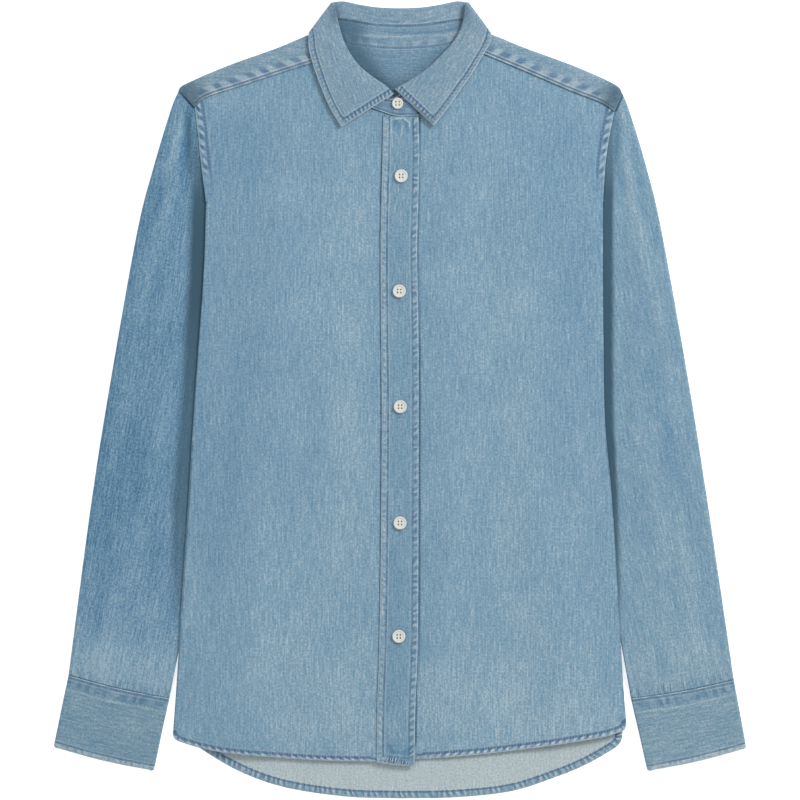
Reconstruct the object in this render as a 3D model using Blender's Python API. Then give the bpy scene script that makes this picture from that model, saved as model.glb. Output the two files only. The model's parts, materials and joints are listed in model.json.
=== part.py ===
"""Denim shirt, buttoned and laid flat on its back.

Metres, +Z up. The collar points to +Y and the wearer's right side lies at -X. The origin is the centre of the
shirt's outline, on the surface it lies on. Every piece of cloth is a wall of even thickness. The pieces lie on each
other in numbered layers, one wall and one small gap apart: layer 0 rests on the surface. At each side the body is
folded in like a bag's gusset, with the sleeve lying inside that fold.
"""

import math

import bmesh
import bpy
from mathutils import Vector

# ---------------------------------------------------------------- driving sizes, millimetres
WALL = 1.0  # thickness of the cloth
GAP = 0.3  # clearance between pieces
PITCH = WALL + GAP  # from one layer to the next
CUFF_WALL = 1.4  # two layers of cloth with interfacing
CUFF_HOLLOW = 0.9  # clear height inside a flattened cuff

HALF_WIDTH = 319.0  # outer corner of a cuff
COLLAR_TOP = 367.0
HEM_LOW = -367.0

MARGIN_DEPTH = 60.0  # how far each side is folded in
MARGIN_SLOPE = 45.0  # length over which a front comes down from its margin
MARGIN_LEDGE = 3.0  # how far a front stays raised past its margin
UNDERARM_Y = 146.0
FOLD_TOP_Y = 182.0  # where a side fold starts, at the foot of the visible armhole
YOKE_BACK_Y = 228.0  # seam of the yoke across the back
BACK_TUCK = 3.2  # how far the edges of the back lie in from the side folds
ARMHOLE_TUCK = 6.0  # hidden edge past the foot of an armhole
SHOULDER_CLEARANCE = 4.6  # inner yoke below the shoulder fold

PLACKET_TOP_Y = 260.6
PLACKET_INSET = 2.0  # the front's edge, hidden under the placket
UNDERLAP_X = -14.0  # edge of the left front, under the placket

COLLAR_LAYER = 4.0  # stand at the front
STAND_BACK_LAYER = 1.5  # stand at the back, between the two layers of the yoke
LEAF_DROP = 0.9  # how far the leaves' outer edges lie below the roll

BUTTON_RADIUS = 6.1
COLLAR_BUTTON_RADIUS = 5.2
BUTTON_THICKNESS = 2.4
BUTTON_RIM = 1.3
BUTTON_DISH = 0.6
BUTTON_HOLE_RADIUS = 0.75
BUTTON_HOLE_OFFSET = 1.5  # from the button's centre lines
BUTTON_HOLE_SEGMENTS = 8
BUTTON_SEGMENTS = 24
BUTTON_ROUNDING = 0.7  # height of the rounded lower edge
BUTTON_DISH_SLOPE = 0.7  # width of the slope from the rim down to the dish

# y, then the x of each side fold of the body
SIDE_FOLDS = (
    # y, right, left
    (182.0, -178.6, 187.0),
    (120.0, -180.6, 186.8),
    (50.0, -185.4, 187.4),
    (-20.0, -190.4, 188.8),
    (-90.0, -194.6, 195.0),
    (-180.0, -200.6, 200.6),
    (-260.0, -205.6, 205.4),
    (-304.0, -208.8, 208.4),
)

# armhole of each side, from the shoulder seam to the foot, then on the folded margin to the underarm
ARMHOLES = {
    -1: ((-189.4, 269.7), (-186.3, 246.0), (-183.4, 218.0), (-178.6, 182.0)),
    1: ((197.6, 265.9), (192.4, 240.0), (189.2, 216.0), (187.0, 182.0)),
}
MARGIN_ARMHOLE = (
    # distance in from the side fold, y
    (20.0, 172.0),
    (40.0, 158.5),
    (54.0, UNDERARM_Y),
)

# shoulder fold from the neck point to the sleeve, and the yoke's front seam below it
SHOULDERS = {
    -1: ((-75.0, 339.4), (-88.8, 334.0), (-114.5, 323.4), (-160.5, 306.8), (-198.3, 290.3), (-203.4, 285.0)),
    1: ((75.0, 339.4), (90.4, 334.0), (116.4, 323.4), (161.5, 306.8), (197.8, 290.3), (204.8, 281.5)),
}
YOKE_SEAMS = {
    -1: ((-62.0, 316.8), (-107.9, 302.0), (-145.5, 289.6), (-178.0, 279.0), (-189.4, 269.7)),
    1: ((62.0, 325.0), (104.8, 307.3), (154.7, 285.9), (184.0, 274.4), (197.6, 265.9)),
}

# front hems, from the placket to the side fold
FRONT_HEMS = {
    -1: (
        (-21.0, -333.0),
        (-80.0, -331.6),
        (-150.4, -326.0),
        (-178.0, -321.5),
        (-196.0, -316.6),
        (-206.2, -312.6),
        (-209.0, -308.0),
    ),
    1: (
        (15.0, -331.0),
        (74.0, -326.4),
        (132.5, -319.2),
        (183.5, -311.0),
        (199.0, -306.8),
        (206.2, -303.8),
        (208.4, -299.0),
    ),
}
MARGIN_HEM_RISE = 16.0  # the hem climbs this much between a side fold and its side seam
BACK_HEM = (
    (-206.0, -304.0),
    (-188.0, -318.2),
    (-150.0, -341.0),
    (-107.6, -356.4),
    (-51.0, -365.2),
    (0.0, HEM_LOW),
    (51.0, -366.0),
    (103.0, -360.2),
    (147.0, -346.0),
    (172.0, -335.4),
    (190.0, -325.4),
    (200.4, -318.6),
    (204.6, -311.6),
    (205.4, -304.0),
)

# edges of the placket
PLACKET = (
    # y, outer edge, free edge
    (PLACKET_TOP_Y, -15.4, 16.8),
    (228.0, -15.9, 17.6),
    (181.0, -17.2, 16.6),
    (137.0, -17.9, 15.7),
    (60.0, -17.4, 16.8),
    (-10.0, -16.8, 17.0),
    (-110.0, -17.4, 16.8),
    (-185.0, -18.3, 16.6),
    (-237.0, -19.4, 15.8),
    (-285.0, -21.0, 14.0),
    (-333.4, -21.4, 13.2),
)
PLACKET_FOOT_DROP = 3.6  # the free edge ends lower than the outer edge

# outer fold of each sleeve, from the shoulder to the cuff
SLEEVE_OUTER = {
    -1: ((-203.4, 285.0), (-211.1, 266.2), (-227.7, 211.0), (-242.0, 154.0), (-266.3, 17.8), (-283.8, -92.6),
         (-305.2, -253.4)),
    1: ((204.8, 281.5), (211.1, 266.2), (227.7, 211.0), (241.0, 154.0), (265.4, 17.8), (282.9, -92.6),
        (307.4, -257.8)),
}
# corners of each cuff: outer and inner end of its seam, outer and inner end of its edge
CUFFS = {
    -1: ((-305.2, -253.8), (-212.4, -275.0), (-HALF_WIDTH, -319.6), (-226.6, -341.6)),
    1: ((307.4, -258.2), (212.6, -275.2), (HALF_WIDTH, -320.6), (227.8, -341.8)),
}
CUFF_BOW = 1.6  # how far a cuff's long edges bow towards the hand
CUFF_SEAM_GAP = 0.4  # between a sleeve and its cuff

# collar stations of each side, from the front edge of its leaf to the side of the neck
LEAVES = {
    -1: (
        # neck seam x, y   collar seam x, y   roll x, y        outer edge x, y
        ((-22.0, 267.4), (-11.5, 276.0), (-5.4, 282.0), (-54.0, 250.8)),
        ((-33.0, 272.4), (-21.6, 282.8), (-14.0, 289.8), (-63.6, 266.8)),
        ((-44.5, 281.0), (-32.9, 292.0), (-25.2, 297.4), (-70.6, 282.0)),
        ((-54.0, 292.5), (-42.8, 301.8), (-36.2, 306.4), (-76.4, 297.6)),
        ((-62.0, 308.0), (-51.6, 314.0), (-45.0, 317.6), (-81.2, 312.4)),
        ((-66.5, 321.0), (-58.0, 328.2), (-52.0, 331.6), (-84.0, 324.4)),
        ((-69.2, 331.0), (-61.8, 341.4), (-56.6, 347.0), (-84.2, 331.0)),
    ),
    1: (
        ((22.0, 267.4), (1.0, 281.2), (-5.2, 286.2), (31.2, 251.8)),
        ((31.0, 272.0), (13.4, 284.6), (4.5, 291.2), (45.5, 270.6)),
        ((42.5, 281.0), (26.2, 292.4), (17.0, 299.2), (56.5, 286.2)),
        ((52.5, 293.0), (37.9, 301.9), (28.2, 307.8), (66.0, 299.6)),
        ((61.0, 308.0), (47.3, 314.2), (38.2, 317.8), (74.6, 313.8)),
        ((66.3, 321.0), (56.8, 327.6), (49.6, 330.6), (81.4, 325.6)),
        ((69.2, 331.0), (61.9, 341.2), (57.0, 345.0), (84.0, 331.4)),
    ),
}
# stations round the side fold and the back of the neck, given for the right side
COLLAR_BACK = (
    # neck seam x, y    collar seam x, y    roll x, y          outer edge x, y    turn in degrees
    ((-70.0, 335.6), (-63.6, 351.0), (-60.2, 363.8), (-83.6, 335.4), 0.0),
    ((-70.0, 335.6), (-63.6, 351.0), (-60.2, 363.8), (-81.4, 335.4), 45.0),
    ((-70.0, 335.6), (-63.6, 351.0), (-60.2, 364.0), (-80.4, 335.4), 90.0),
    ((-70.0, 335.6), (-63.6, 351.0), (-60.2, 364.8), (-80.8, 335.4), 135.0),
    ((-69.6, 335.8), (-63.0, 351.4), (-59.6, 366.2), (-81.0, 335.2), 180.0),
    ((-58.0, 330.6), (-54.6, 351.0), (-52.8, COLLAR_TOP), (-66.0, 322.0), 180.0),
    ((-38.0, 325.8), (-36.6, 348.2), (-35.4, 363.6), (-42.0, 317.0), 180.0),
    ((-19.0, 323.4), (-18.4, 346.0), (-17.8, 361.2), (-21.0, 315.4), 180.0),
    ((0.0, 322.6), (0.0, 345.3), (0.0, 360.6), (0.0, 314.8), 180.0),
)
# ends of the stand past the leaves, at the centre front: neck seam and collar seam of each section, and its layer
STAND_ENDS = {
    -1: (((17.0, 261.8), (13.0, 271.6), 4.0), ((0.0, 261.4), (2.0, 277.0), 4.0)),
    1: (((-8.0, 265.4), (-7.0, 276.6), 3.0), ((5.0, 263.8), (-2.6, 278.6), 3.0), ((17.5, 265.4), (-0.4, 279.8), 3.0)),
}

BUTTONS = (
    # x, y of each button, from the collar down
    (-2.2, 272.6),
    (1.1, 205.9),
    (-0.7, 100.0),
    (0.2, -6.3),
    (0.0, -113.3),
    (-1.1, -217.6),
)

MM = 0.001
RIGHT, LEFT = -1, 1
ARC_STEPS = 4  # faces round a fold


# ---------------------------------------------------------------- helpers
def layer(number):
    """Height of the middle of a wall that lies in this layer."""
    return WALL / 2 + number * PITCH


def ramp(start, end, value):
    """Smooth step from 0 at start to 1 at end; start may be the larger."""
    t = min(max((value - start) / (end - start), 0.0), 1.0)
    return t * t * (3.0 - 2.0 * t)


def mix(a, b, t):
    return a + (b - a) * t


def side_fold_x(y, side):
    """x of the body's side fold at this y."""
    column = 1 if side == RIGHT else 2
    rows = SIDE_FOLDS
    if y >= rows[0][0]:
        return rows[0][column]
    for above, below in zip(rows, rows[1:]):
        if y >= below[0]:
            return mix(below[column], above[column], (y - below[0]) / (above[0] - below[0]))
    return rows[-1][column]


def path(points, count):
    """count points evenly spaced along a smooth curve through the given points."""
    points = [Vector(p) for p in points]
    ends = [points[0] * 2 - points[1], *points, points[-1] * 2 - points[-2]]
    fine = []
    steps = 16
    for a, b, c, d in zip(ends, ends[1:], ends[2:], ends[3:]):
        for k in range(steps):
            t = k / steps
            fine.append(
                (b * 2 + (c - a) * t + (a * 2 - b * 5 + c * 4 - d) * t**2 + (b * 3 - a - c * 3 + d) * t**3) / 2
            )
    fine.append(points[-1])
    lengths = [0.0]
    for a, b in zip(fine, fine[1:]):
        lengths.append(lengths[-1] + (b - a).length)
    made, k = [], 0
    for n in range(count):
        wanted = lengths[-1] * n / (count - 1)
        while k < len(fine) - 2 and lengths[k + 1] < wanted:
            k += 1
        span = lengths[k + 1] - lengths[k]
        made.append(fine[k].lerp(fine[k + 1], (wanted - lengths[k]) / span))
    return made


def shares(points):
    """How far along the polyline each of its points is, from 0 to 1."""
    lengths = [0.0]
    for a, b in zip(points, points[1:]):
        lengths.append(lengths[-1] + (b - a).length)
    return [length / lengths[-1] for length in lengths]


def span_edges(top, bottom, first, last):
    """Rows of plan points between four edges: top and bottom run across, first and last run down."""
    across = [(a + b) / 2 for a, b in zip(shares(top), shares(bottom))]
    down = [(a + b) / 2 for a, b in zip(shares(first), shares(last))]
    rows = []
    for i, v in enumerate(down):
        row = []
        for j, u in enumerate(across):
            ruled = top[j] * (1 - v) + bottom[j] * v + first[i] * (1 - u) + last[i] * u
            corners = (top[0] * (1 - u) + top[-1] * u) * (1 - v) + (bottom[0] * (1 - u) + bottom[-1] * u) * v
            row.append(ruled - corners)
        rows.append(row)
    return rows


def at(plan, height):
    """Point over a plan point."""
    return Vector((plan[0], plan[1], height))


def fold(edge, outward, high, low):
    """Points half round a fold whose outermost point is near edge, from the wall at high to the wall at low."""
    radius = abs(high - low) / 2
    middle = (high + low) / 2
    turn = 1.0 if high > low else -1.0
    points = []
    for k in range(ARC_STEPS + 1):
        angle = math.pi * k / ARC_STEPS
        reach = outward * (radius * math.sin(angle))
        points.append(at(edge + reach, middle + turn * radius * math.cos(angle)))
    return points


def make_material(name, colour, roughness):
    material = bpy.data.materials.new(name)
    material.use_nodes = True
    shader = material.node_tree.nodes["Principled BSDF"]
    shader.inputs["Base Color"].default_value = (*colour, 1.0)
    shader.inputs["Roughness"].default_value = roughness
    shader.inputs["Metallic"].default_value = 0.0
    material.diffuse_color = (*colour, 1.0)
    return material


def wall_object(name, rows, colour, wall=WALL, skip=None, ring=False):
    """Closed wall over rows of points. skip(i, j) leaves a cell out; a ring joins the last column to the first."""
    across, down = len(rows[0]) - 1, len(rows) - 1
    mesh = bpy.data.meshes.new(name)
    shape = bmesh.new()
    bmesh.ops.create_grid(shape, x_segments=across, y_segments=down, size=0.5)
    unwanted = []
    for face in shape.faces:
        centre = face.calc_center_median()
        i = int((0.5 - centre.y) * down)
        j = int((centre.x + 0.5) * across)
        if skip and skip(i, j):
            unwanted.append(face)
    for vertex in shape.verts:
        i = round((0.5 - vertex.co.y) * down)
        j = round((vertex.co.x + 0.5) * across)
        vertex.co = rows[i][j] * MM
    bmesh.ops.delete(shape, geom=unwanted, context="FACES")
    if ring:
        bmesh.ops.remove_doubles(shape, verts=shape.verts, dist=0.01 * MM)
    shape.to_mesh(mesh)
    shape.free()
    mesh.materials.append(make_material(name, colour, 0.9))
    made = bpy.data.objects.new(name, mesh)
    bpy.context.collection.objects.link(made)
    solidify = made.modifiers.new("Wall", "SOLIDIFY")
    solidify.thickness = wall * MM
    solidify.offset = 0.0
    solidify.use_even_offset = False
    mesh.shade_smooth()
    mesh.set_sharp_from_angle(angle=math.radians(40))
    return made


# ---------------------------------------------------------------- heights of the body
def margin_share(x, y, side):
    """1 over the folded-in side margin, 0 towards the middle and above the armhole's foot."""
    inward = abs(side_fold_x(y, side)) - abs(x)
    return ramp(MARGIN_DEPTH + MARGIN_SLOPE, MARGIN_DEPTH + MARGIN_LEDGE, inward) * ramp(236.0, 172.0, y)


def front_layer(x, y, side):
    """Layer of a front: 3, but 2 where the left front runs under the placket, and 5 over the side margins."""
    middle = 3.0 if side == RIGHT else mix(2.0, 3.0, ramp(20.0, 44.0, x))
    return mix(middle, 5.0, margin_share(x, y, side))


def collar_lift(x, y):
    """The yoke lies one layer up where the back of the collar's fall is under it."""
    return ramp(288.0, 309.0, y) * ramp(116.0, 94.0, abs(x))


# ---------------------------------------------------------------- body
def armhole(side):
    """Plan points down the visible armhole, then along the margin's armhole to the underarm."""
    seen = path(ARMHOLES[side], 5)
    fold_x = side_fold_x(FOLD_TOP_Y, side)
    hidden = [Vector((fold_x - side * inward, y)) for inward, y in MARGIN_ARMHOLE]
    return seen, hidden


def armhole_x(y, side):
    """x of the armhole at this y, from the shoulder fold down to the yoke's back seam."""
    points = [Vector(SHOULDERS[side][-1]), *path(ARMHOLES[side], 12)]
    for above, below in zip(points, points[1:]):
        if y >= below.y:
            return mix(below.x, above.x, (y - below.y) / (above.y - below.y))
    return points[-1].x


def with_margin(rows, side, first_row, hidden, main_layer, margin_layer, seam_layer, inset, heights):
    """Adds the folded side margin to each row. Rows above first_row repeat the edge, and their cells are skipped."""
    outward = Vector((side, 0.0))
    bottom = len(rows) - 1
    made = []
    for i, row in enumerate(rows):
        row_points = [at(p, heights(p.x, p.y)) for p in row]
        edge = row[-1]
        if i < first_row:
            made.append(row_points + [row_points[-1]] * (ARC_STEPS + len(hidden) + 1))
            continue
        share = (i - first_row) / (bottom - first_row)
        arc = fold(edge, outward, layer(main_layer), layer(margin_layer))
        row_points[-1] = arc[0]
        margin = []
        tucked = [*hidden, hidden[-1] - outward * ARMHOLE_TUCK]
        for k, start in enumerate(tucked):
            inward = abs(start.x - side_fold_x(FOLD_TOP_Y, side))
            hem_rise = MARGIN_HEM_RISE * inward / MARGIN_DEPTH
            hem = Vector((0.0, rows[bottom][-1].y + hem_rise))
            y = mix(start.y, hem.y, share)
            x = side_fold_x(y, side) - side * (inward + inset)
            last = k == len(tucked) - 1
            margin.append(Vector((x, y, layer(seam_layer if last else margin_layer))))
        made.append(row_points + arc[1:] + margin)
    return made


def make_front(name, side, colour):
    seen, hidden = armhole(side)
    hem = FRONT_HEMS[side]
    if side == RIGHT:
        edge = [(free - PLACKET_INSET, y) for y, _, free in PLACKET]
        neck = ((edge[0][0], 260.6), (0.0, 260.8), (-24.0, 266.6), (-46.0, 280.0), (-57.0, 295.0), (-62.0, 316.4))
        hem = (edge[-1], *hem)
    else:
        edge = [(UNDERLAP_X, 260.6), (UNDERLAP_X, -333.0)]
        neck = (edge[0], (6.0, 260.8), (26.0, 267.0), (46.0, 281.0), (57.0, 298.0), (62.0, 324.6))
        hem = (edge[-1], *hem)
    seam = [Vector(p) - Vector((0.0, GAP)) for p in YOKE_SEAMS[side]]
    top = path(neck, 6) + path([*seam[:-1], seen[0] - Vector((0.0, GAP))], 7)[1:]
    seen[0] = top[-1]
    side_edge = [(side_fold_x(y, side), y) for y, _, _ in SIDE_FOLDS]
    side_edge[-1] = hem[-1]
    inset = Vector((side * (GAP + WALL), 0.0))
    down = path([Vector(p) - inset for p in side_edge], 12)
    outer = [p - inset * 0.1 for p in seen[:-1]] + down
    top[-1] = outer[0]
    inner = path(edge, len(outer))
    bottom = path([edge[-1], *[Vector(p) for p in hem[1:-1]], outer[-1]], len(top))
    inner[0], inner[-1] = top[0], bottom[0]
    plan = span_edges(top, bottom, inner, outer)
    first = len(seen) - 1
    rows = with_margin(
        plan, side, first, hidden, 5, 4, 3.0, 0.0, lambda x, y: layer(front_layer(x, y, side))
    )
    main = len(top) - 1
    if side == LEFT:
        rows = [list(reversed(row)) for row in rows]
        width = len(rows[0]) - 1
        return wall_object(name, rows, colour, skip=lambda i, j: i < first and width - 1 - j >= main)
    return wall_object(name, rows, colour, skip=lambda i, j: i < first and j >= main)


def make_back(name, colour):
    halves = {}
    first = 3
    for side in (RIGHT, LEFT):
        seen, hidden = armhole(side)
        fold_x = side_fold_x(FOLD_TOP_Y, side)
        sunk = side * BACK_TUCK
        clear = Vector((side * 2 * GAP, 0.0))
        start = Vector((armhole_x(YOKE_BACK_Y, side), YOKE_BACK_Y - GAP)) - clear
        upper = path([start, Vector((armhole_x(205.0, side), 205.0)) - clear, (fold_x - sunk, FOLD_TOP_Y)], first + 1)
        lower = [(side_fold_x(y, side) - sunk, y) for y, _, _ in SIDE_FOLDS[:-1]]
        corner = BACK_HEM[0] if side == RIGHT else BACK_HEM[-1]
        lower.append((corner[0] - side * WALL, corner[1]))
        outer = upper[:-1] + path(lower, 12)
        half_hem = [p for p in BACK_HEM if p[0] * side >= 0.0]
        if side == RIGHT:
            half_hem.reverse()
        half_hem[-1] = lower[-1]
        bottom = path(half_hem, 8)
        top = path([(0.0, YOKE_BACK_Y + 3.0 - GAP), (side * 90.0, YOKE_BACK_Y + 2.0 - GAP), start], 8)
        middle = path([top[0], bottom[0]], len(outer))
        plan = span_edges(top, bottom, middle, outer)
        halves[side] = with_margin(
            plan, side, first, hidden, 0, 1, 2.0, 2.0, lambda x, y: layer(0)
        )
    main = 7
    rows = [list(reversed(right))[:-1] + left for right, left in zip(halves[RIGHT], halves[LEFT])]
    width = len(rows[0]) - 1
    tucked = (width - 2 * main) // 2

    def skip(i, j):
        return i < first and (j < tucked or j >= width - tucked)

    return wall_object(name, rows, colour, skip=skip)


def yoke_columns():
    """Plan points across the yoke: its front seam, its top edge and its back seam, from right to left."""
    front, top = [], []
    for side in (RIGHT, LEFT):
        seam = path(YOKE_SEAMS[side], 7)
        ridge = path(SHOULDERS[side], 7)
        front.append(list(reversed(seam)) if side == RIGHT else seam)
        top.append(list(reversed(ridge)) if side == RIGHT else ridge)
    back_of_neck = [(-72.0, 335.4), (-60.0, 330.0), (0.0, 322.0), (60.0, 330.0), (72.0, 335.4)]
    neck = path(back_of_neck, 9)[1:-1]
    top_edge = top[0] + neck + top[1]
    front_edge = front[0] + neck + front[1]
    return front_edge, top_edge, len(top[0])


def make_yoke(name, colour):
    front_edge, top_edge, shoulder = yoke_columns()
    count = len(top_edge)
    ends = [Vector((armhole_x(YOKE_BACK_Y, side), YOKE_BACK_Y)) for side in (RIGHT, LEFT)]
    back_seam = ((-90.0, YOKE_BACK_Y + 2.0), (0.0, YOKE_BACK_Y + 3.0), (90.0, YOKE_BACK_Y + 2.0))
    back_edge = path([ends[0], *back_seam, ends[1]], count)
    sections = []
    for j in range(count):
        on_shoulder = j < shoulder or j >= count - shoulder
        side = RIGHT if j < shoulder else LEFT
        seam, ridge, back = front_edge[j], top_edge[j], back_edge[j]
        high = layer(3)
        down = (seam - ridge).normalized() if on_shoulder else Vector((0.0, -1.0))
        low = layer(collar_lift(ridge.x, ridge.y))
        radius = (high - low) / 2
        edge = ridge + down * (radius + WALL / 2) if on_shoulder else ridge
        if j in (0, count - 1):
            edge.x -= side * 2 * GAP
        column = []
        if on_shoulder:
            column.append(at(seam, high))
            column.append(at(seam.lerp(edge, 0.5), high))
            column += fold(edge, -down, high, low)
        else:
            column += [at(ridge, low)] * (2 + ARC_STEPS + 1)
        for k in range(1, 6):
            p = edge.lerp(back, k / 5)
            if j in (0, count - 1):
                p.y = mix(seam.y, back.y, (k - 1) / 4)
                p.x = armhole_x(p.y, side) - side * 3 * GAP
            column.append(at(p, layer(collar_lift(p.x, p.y))))
        sections.append(column)
    rows = [list(row) for row in zip(*sections)]
    flap = 2 + ARC_STEPS

    def skip(i, j):
        return i < flap and shoulder - 1 <= j < count - shoulder

    return wall_object(name, rows, colour, skip=skip)


def make_yoke_inner(name, colour):
    _, top_edge, shoulder = yoke_columns()
    count = len(top_edge)
    top = []
    for j, p in enumerate(top_edge):
        on_shoulder = j < shoulder or j >= count - shoulder
        top.append(p - Vector((0.0, SHOULDER_CLEARANCE if on_shoulder else GAP)))
    top[0] += Vector((3.0, 0.0))
    top[-1] -= Vector((3.0, 0.0))
    bottom = path([(-183.0, YOKE_BACK_Y + 1.0), (0.0, YOKE_BACK_Y + 4.0), (183.0, YOKE_BACK_Y + 1.0)], count)
    first = path([top[0], bottom[0]], 6)
    last = path([top[-1], bottom[-1]], 6)
    plan = span_edges(top, bottom, first, last)
    rows = [[at(p, layer(1.0 + collar_lift(p.x, p.y))) for p in row] for row in plan]
    return wall_object(name, rows, colour)


def make_placket(name, colour):
    outer = [(left, y) for y, left, _ in PLACKET]
    free = [(right, y) for y, _, right in PLACKET]
    free[-1] = (free[-1][0], free[-1][1] - PLACKET_FOOT_DROP)
    first, last = path(outer, 18), path(free, 18)
    top = [first[0], first[0].lerp(last[0], 0.5), last[0]]
    bottom = [first[-1], first[-1].lerp(last[-1], 0.5) - Vector((0.0, 0.9)), last[-1]]
    plan = span_edges(top, bottom, first, last)
    rows = [[at(p, layer(4)) for p in row] for row in plan]
    return wall_object(name, rows, colour)


# ---------------------------------------------------------------- sleeves and cuffs
def sleeve_layers(x, y, side, along):
    """Layers of a sleeve's upper and lower wall at a plan point; along runs from 0 at the armhole to 1 at the cuff."""
    outward = abs(x) - abs(side_fold_x(y, side))
    tucked = ramp(34.0, 12.0, outward) * ramp(222.0, 190.0, y)
    valley = ramp(0.0, 9.0, outward) * ramp(26.0, 12.0, outward) * ramp(-150.0, 60.0, y) * ramp(240.0, 200.0, y)
    crest = ramp(16.0, 40.0, outward) * ramp(0.0, 0.12, along)
    lower = 2.0 * tucked * ramp(1.0, 0.92, along)
    upper = mix(3.0 + 0.55 * crest - 0.7 * valley, 1.95, ramp(0.93, 1.0, along))
    return max(upper, lower + 1.0), lower


def make_sleeve(name, side, colour):
    seen, hidden = armhole(side)
    outer_curve = path(SLEEVE_OUTER[side], 17)
    clear = Vector((side * GAP, 0.0))
    cap = path([outer_curve[0], ARMHOLES[side][0]], 3)[:-1]
    top = [p + clear - Vector((0.0, GAP)) for p in cap] + [p + clear for p in seen + hidden]
    top[-1] += Vector((side * 3.0, 0.0))
    seam_outer, seam_inner, _, _ = (Vector(p) for p in CUFFS[side])
    along = (seam_inner - seam_outer).normalized()
    towards_hand = Vector((along.y, -along.x)) if side == RIGHT else Vector((-along.y, along.x))
    bottom = path([seam_outer, seam_inner], len(top))
    for k, p in enumerate(bottom):
        p += towards_hand * (CUFF_BOW * math.sin(math.pi * k / (len(bottom) - 1)) - CUFF_SEAM_GAP)
    outer = outer_curve
    outer[0], outer[-1] = top[0], bottom[0]
    inner = path([top[-1], bottom[-1]], len(outer))
    plan = span_edges(top, bottom, outer, inner)
    rows = []
    for i, row in enumerate(plan):
        along = i / (len(plan) - 1)
        heights = [sleeve_layers(p.x, p.y, side, along) for p in row]
        high, low = layer(heights[0][0]), layer(heights[0][1])
        inward = (row[1] - row[0]).normalized()
        reach = (high - low) / 2 + WALL / 2
        ring = fold(row[0] + inward * reach, -inward, low, high)
        ring += [at(p, layer(upper)) for p, (upper, _) in zip(row[1:-1], heights[1:-1])]
        high, low = layer(heights[-1][0]), layer(heights[-1][1])
        reach = (high - low) / 2 + WALL / 2
        outward = (row[-2] - row[-1]).normalized()
        ring += fold(row[-1] + outward * reach, -outward, high, low)
        ring += [at(p, layer(lower)) for p, (_, lower) in zip(reversed(row[1:-1]), reversed(heights[1:-1]))]
        ring.append(ring[0])
        rows.append(ring if side == RIGHT else list(reversed(ring)))
    return wall_object(name, rows, colour, ring=True)


def make_cuff(name, side, colour):
    seam_outer, seam_inner, edge_outer, edge_inner = (Vector(p) for p in CUFFS[side])
    low = CUFF_WALL / 2
    high = low + CUFF_WALL + CUFF_HOLLOW
    reach = (high - low) / 2 + CUFF_WALL / 2
    rows = []
    down, across = 6, 7
    for i in range(down + 1):
        v = i / down
        outer, inner = seam_outer.lerp(edge_outer, v), seam_inner.lerp(edge_inner, v)
        along = (inner - outer).normalized()
        towards_hand = Vector((along.y, -along.x)) if side == RIGHT else Vector((-along.y, along.x))
        a, b = outer + along * reach, inner - along * reach
        flat = []
        for k in range(1, across):
            u = k / across
            flat.append(a.lerp(b, u) + towards_hand * (CUFF_BOW * math.sin(math.pi * u)))
        ring = fold(a, -along, low, high) + [at(p, high) for p in flat]
        ring += fold(b, along, high, low) + [at(p, low) for p in reversed(flat)]
        ring.append(ring[0])
        rows.append(ring if side == RIGHT else list(reversed(ring)))
    return wall_object(name, rows, colour, wall=CUFF_WALL, ring=True)


# ---------------------------------------------------------------- collar
def collar_stations():
    """Stations round the neck from the right leaf's front edge to the left one's, as (points, turn, side)."""
    halves = []
    for side in (RIGHT, LEFT):
        half = [([Vector(p) for p in row], 0.0, side) for row in LEAVES[side]]
        for *row, turn in COLLAR_BACK:
            half.append(([Vector((-p[0] * side, p[1])) for p in row], math.radians(turn), side))
        halves.append(half)
    return halves[0] + list(reversed(halves[1][:-1]))


def side_normal(roll, outer, side):
    """Direction in plan that points away from the neck, square to the line from the roll to the outer edge."""
    along = (outer - roll).normalized()
    normal = Vector((along.y, -along.x))
    return normal if normal.x * side > 0.0 else -normal


def neck_point(plan, outward, turn, spread, front_layer_here=COLLAR_LAYER):
    """Point of the flattened ring round the neck: upper wall at turn 0, side fold at 90 degrees, lower wall at 180.

    spread is the distance outside the stand's own wall.
    """
    high, low = layer(front_layer_here), layer(STAND_BACK_LAYER)
    reach = (high - low) / 2 + spread
    return at(plan + outward * (reach * math.sin(turn)), (high + low) / 2 + reach * math.cos(turn))


def make_stand(name, colour):
    rows = []

    def add(neck, seam, outward, turn, here):
        start = neck.lerp(seam, 0.02)
        end = neck.lerp(seam, 0.98)
        rows.append([neck_point(start.lerp(end, t), outward, turn, 0.0, here) for t in (0.0, 0.5, 1.0)])

    for neck, seam, here in STAND_ENDS[RIGHT]:
        add(Vector(neck), Vector(seam), Vector((RIGHT, 0.0)), 0.0, here)
    stations = collar_stations()
    for k, (points, turn, side) in enumerate(stations):
        here = COLLAR_LAYER
        if side == LEFT:
            from_front = len(stations) - 1 - k
            here = mix(3.0, 4.0, ramp(0.0, 3.0, from_front))
        add(points[0], points[1], side_normal(points[2], points[3], side), turn, here)
    for neck, seam, here in reversed(STAND_ENDS[LEFT]):
        add(Vector(neck), Vector(seam), Vector((LEFT, 0.0)), 0.0, here)
    return wall_object(name, rows, colour)


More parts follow.
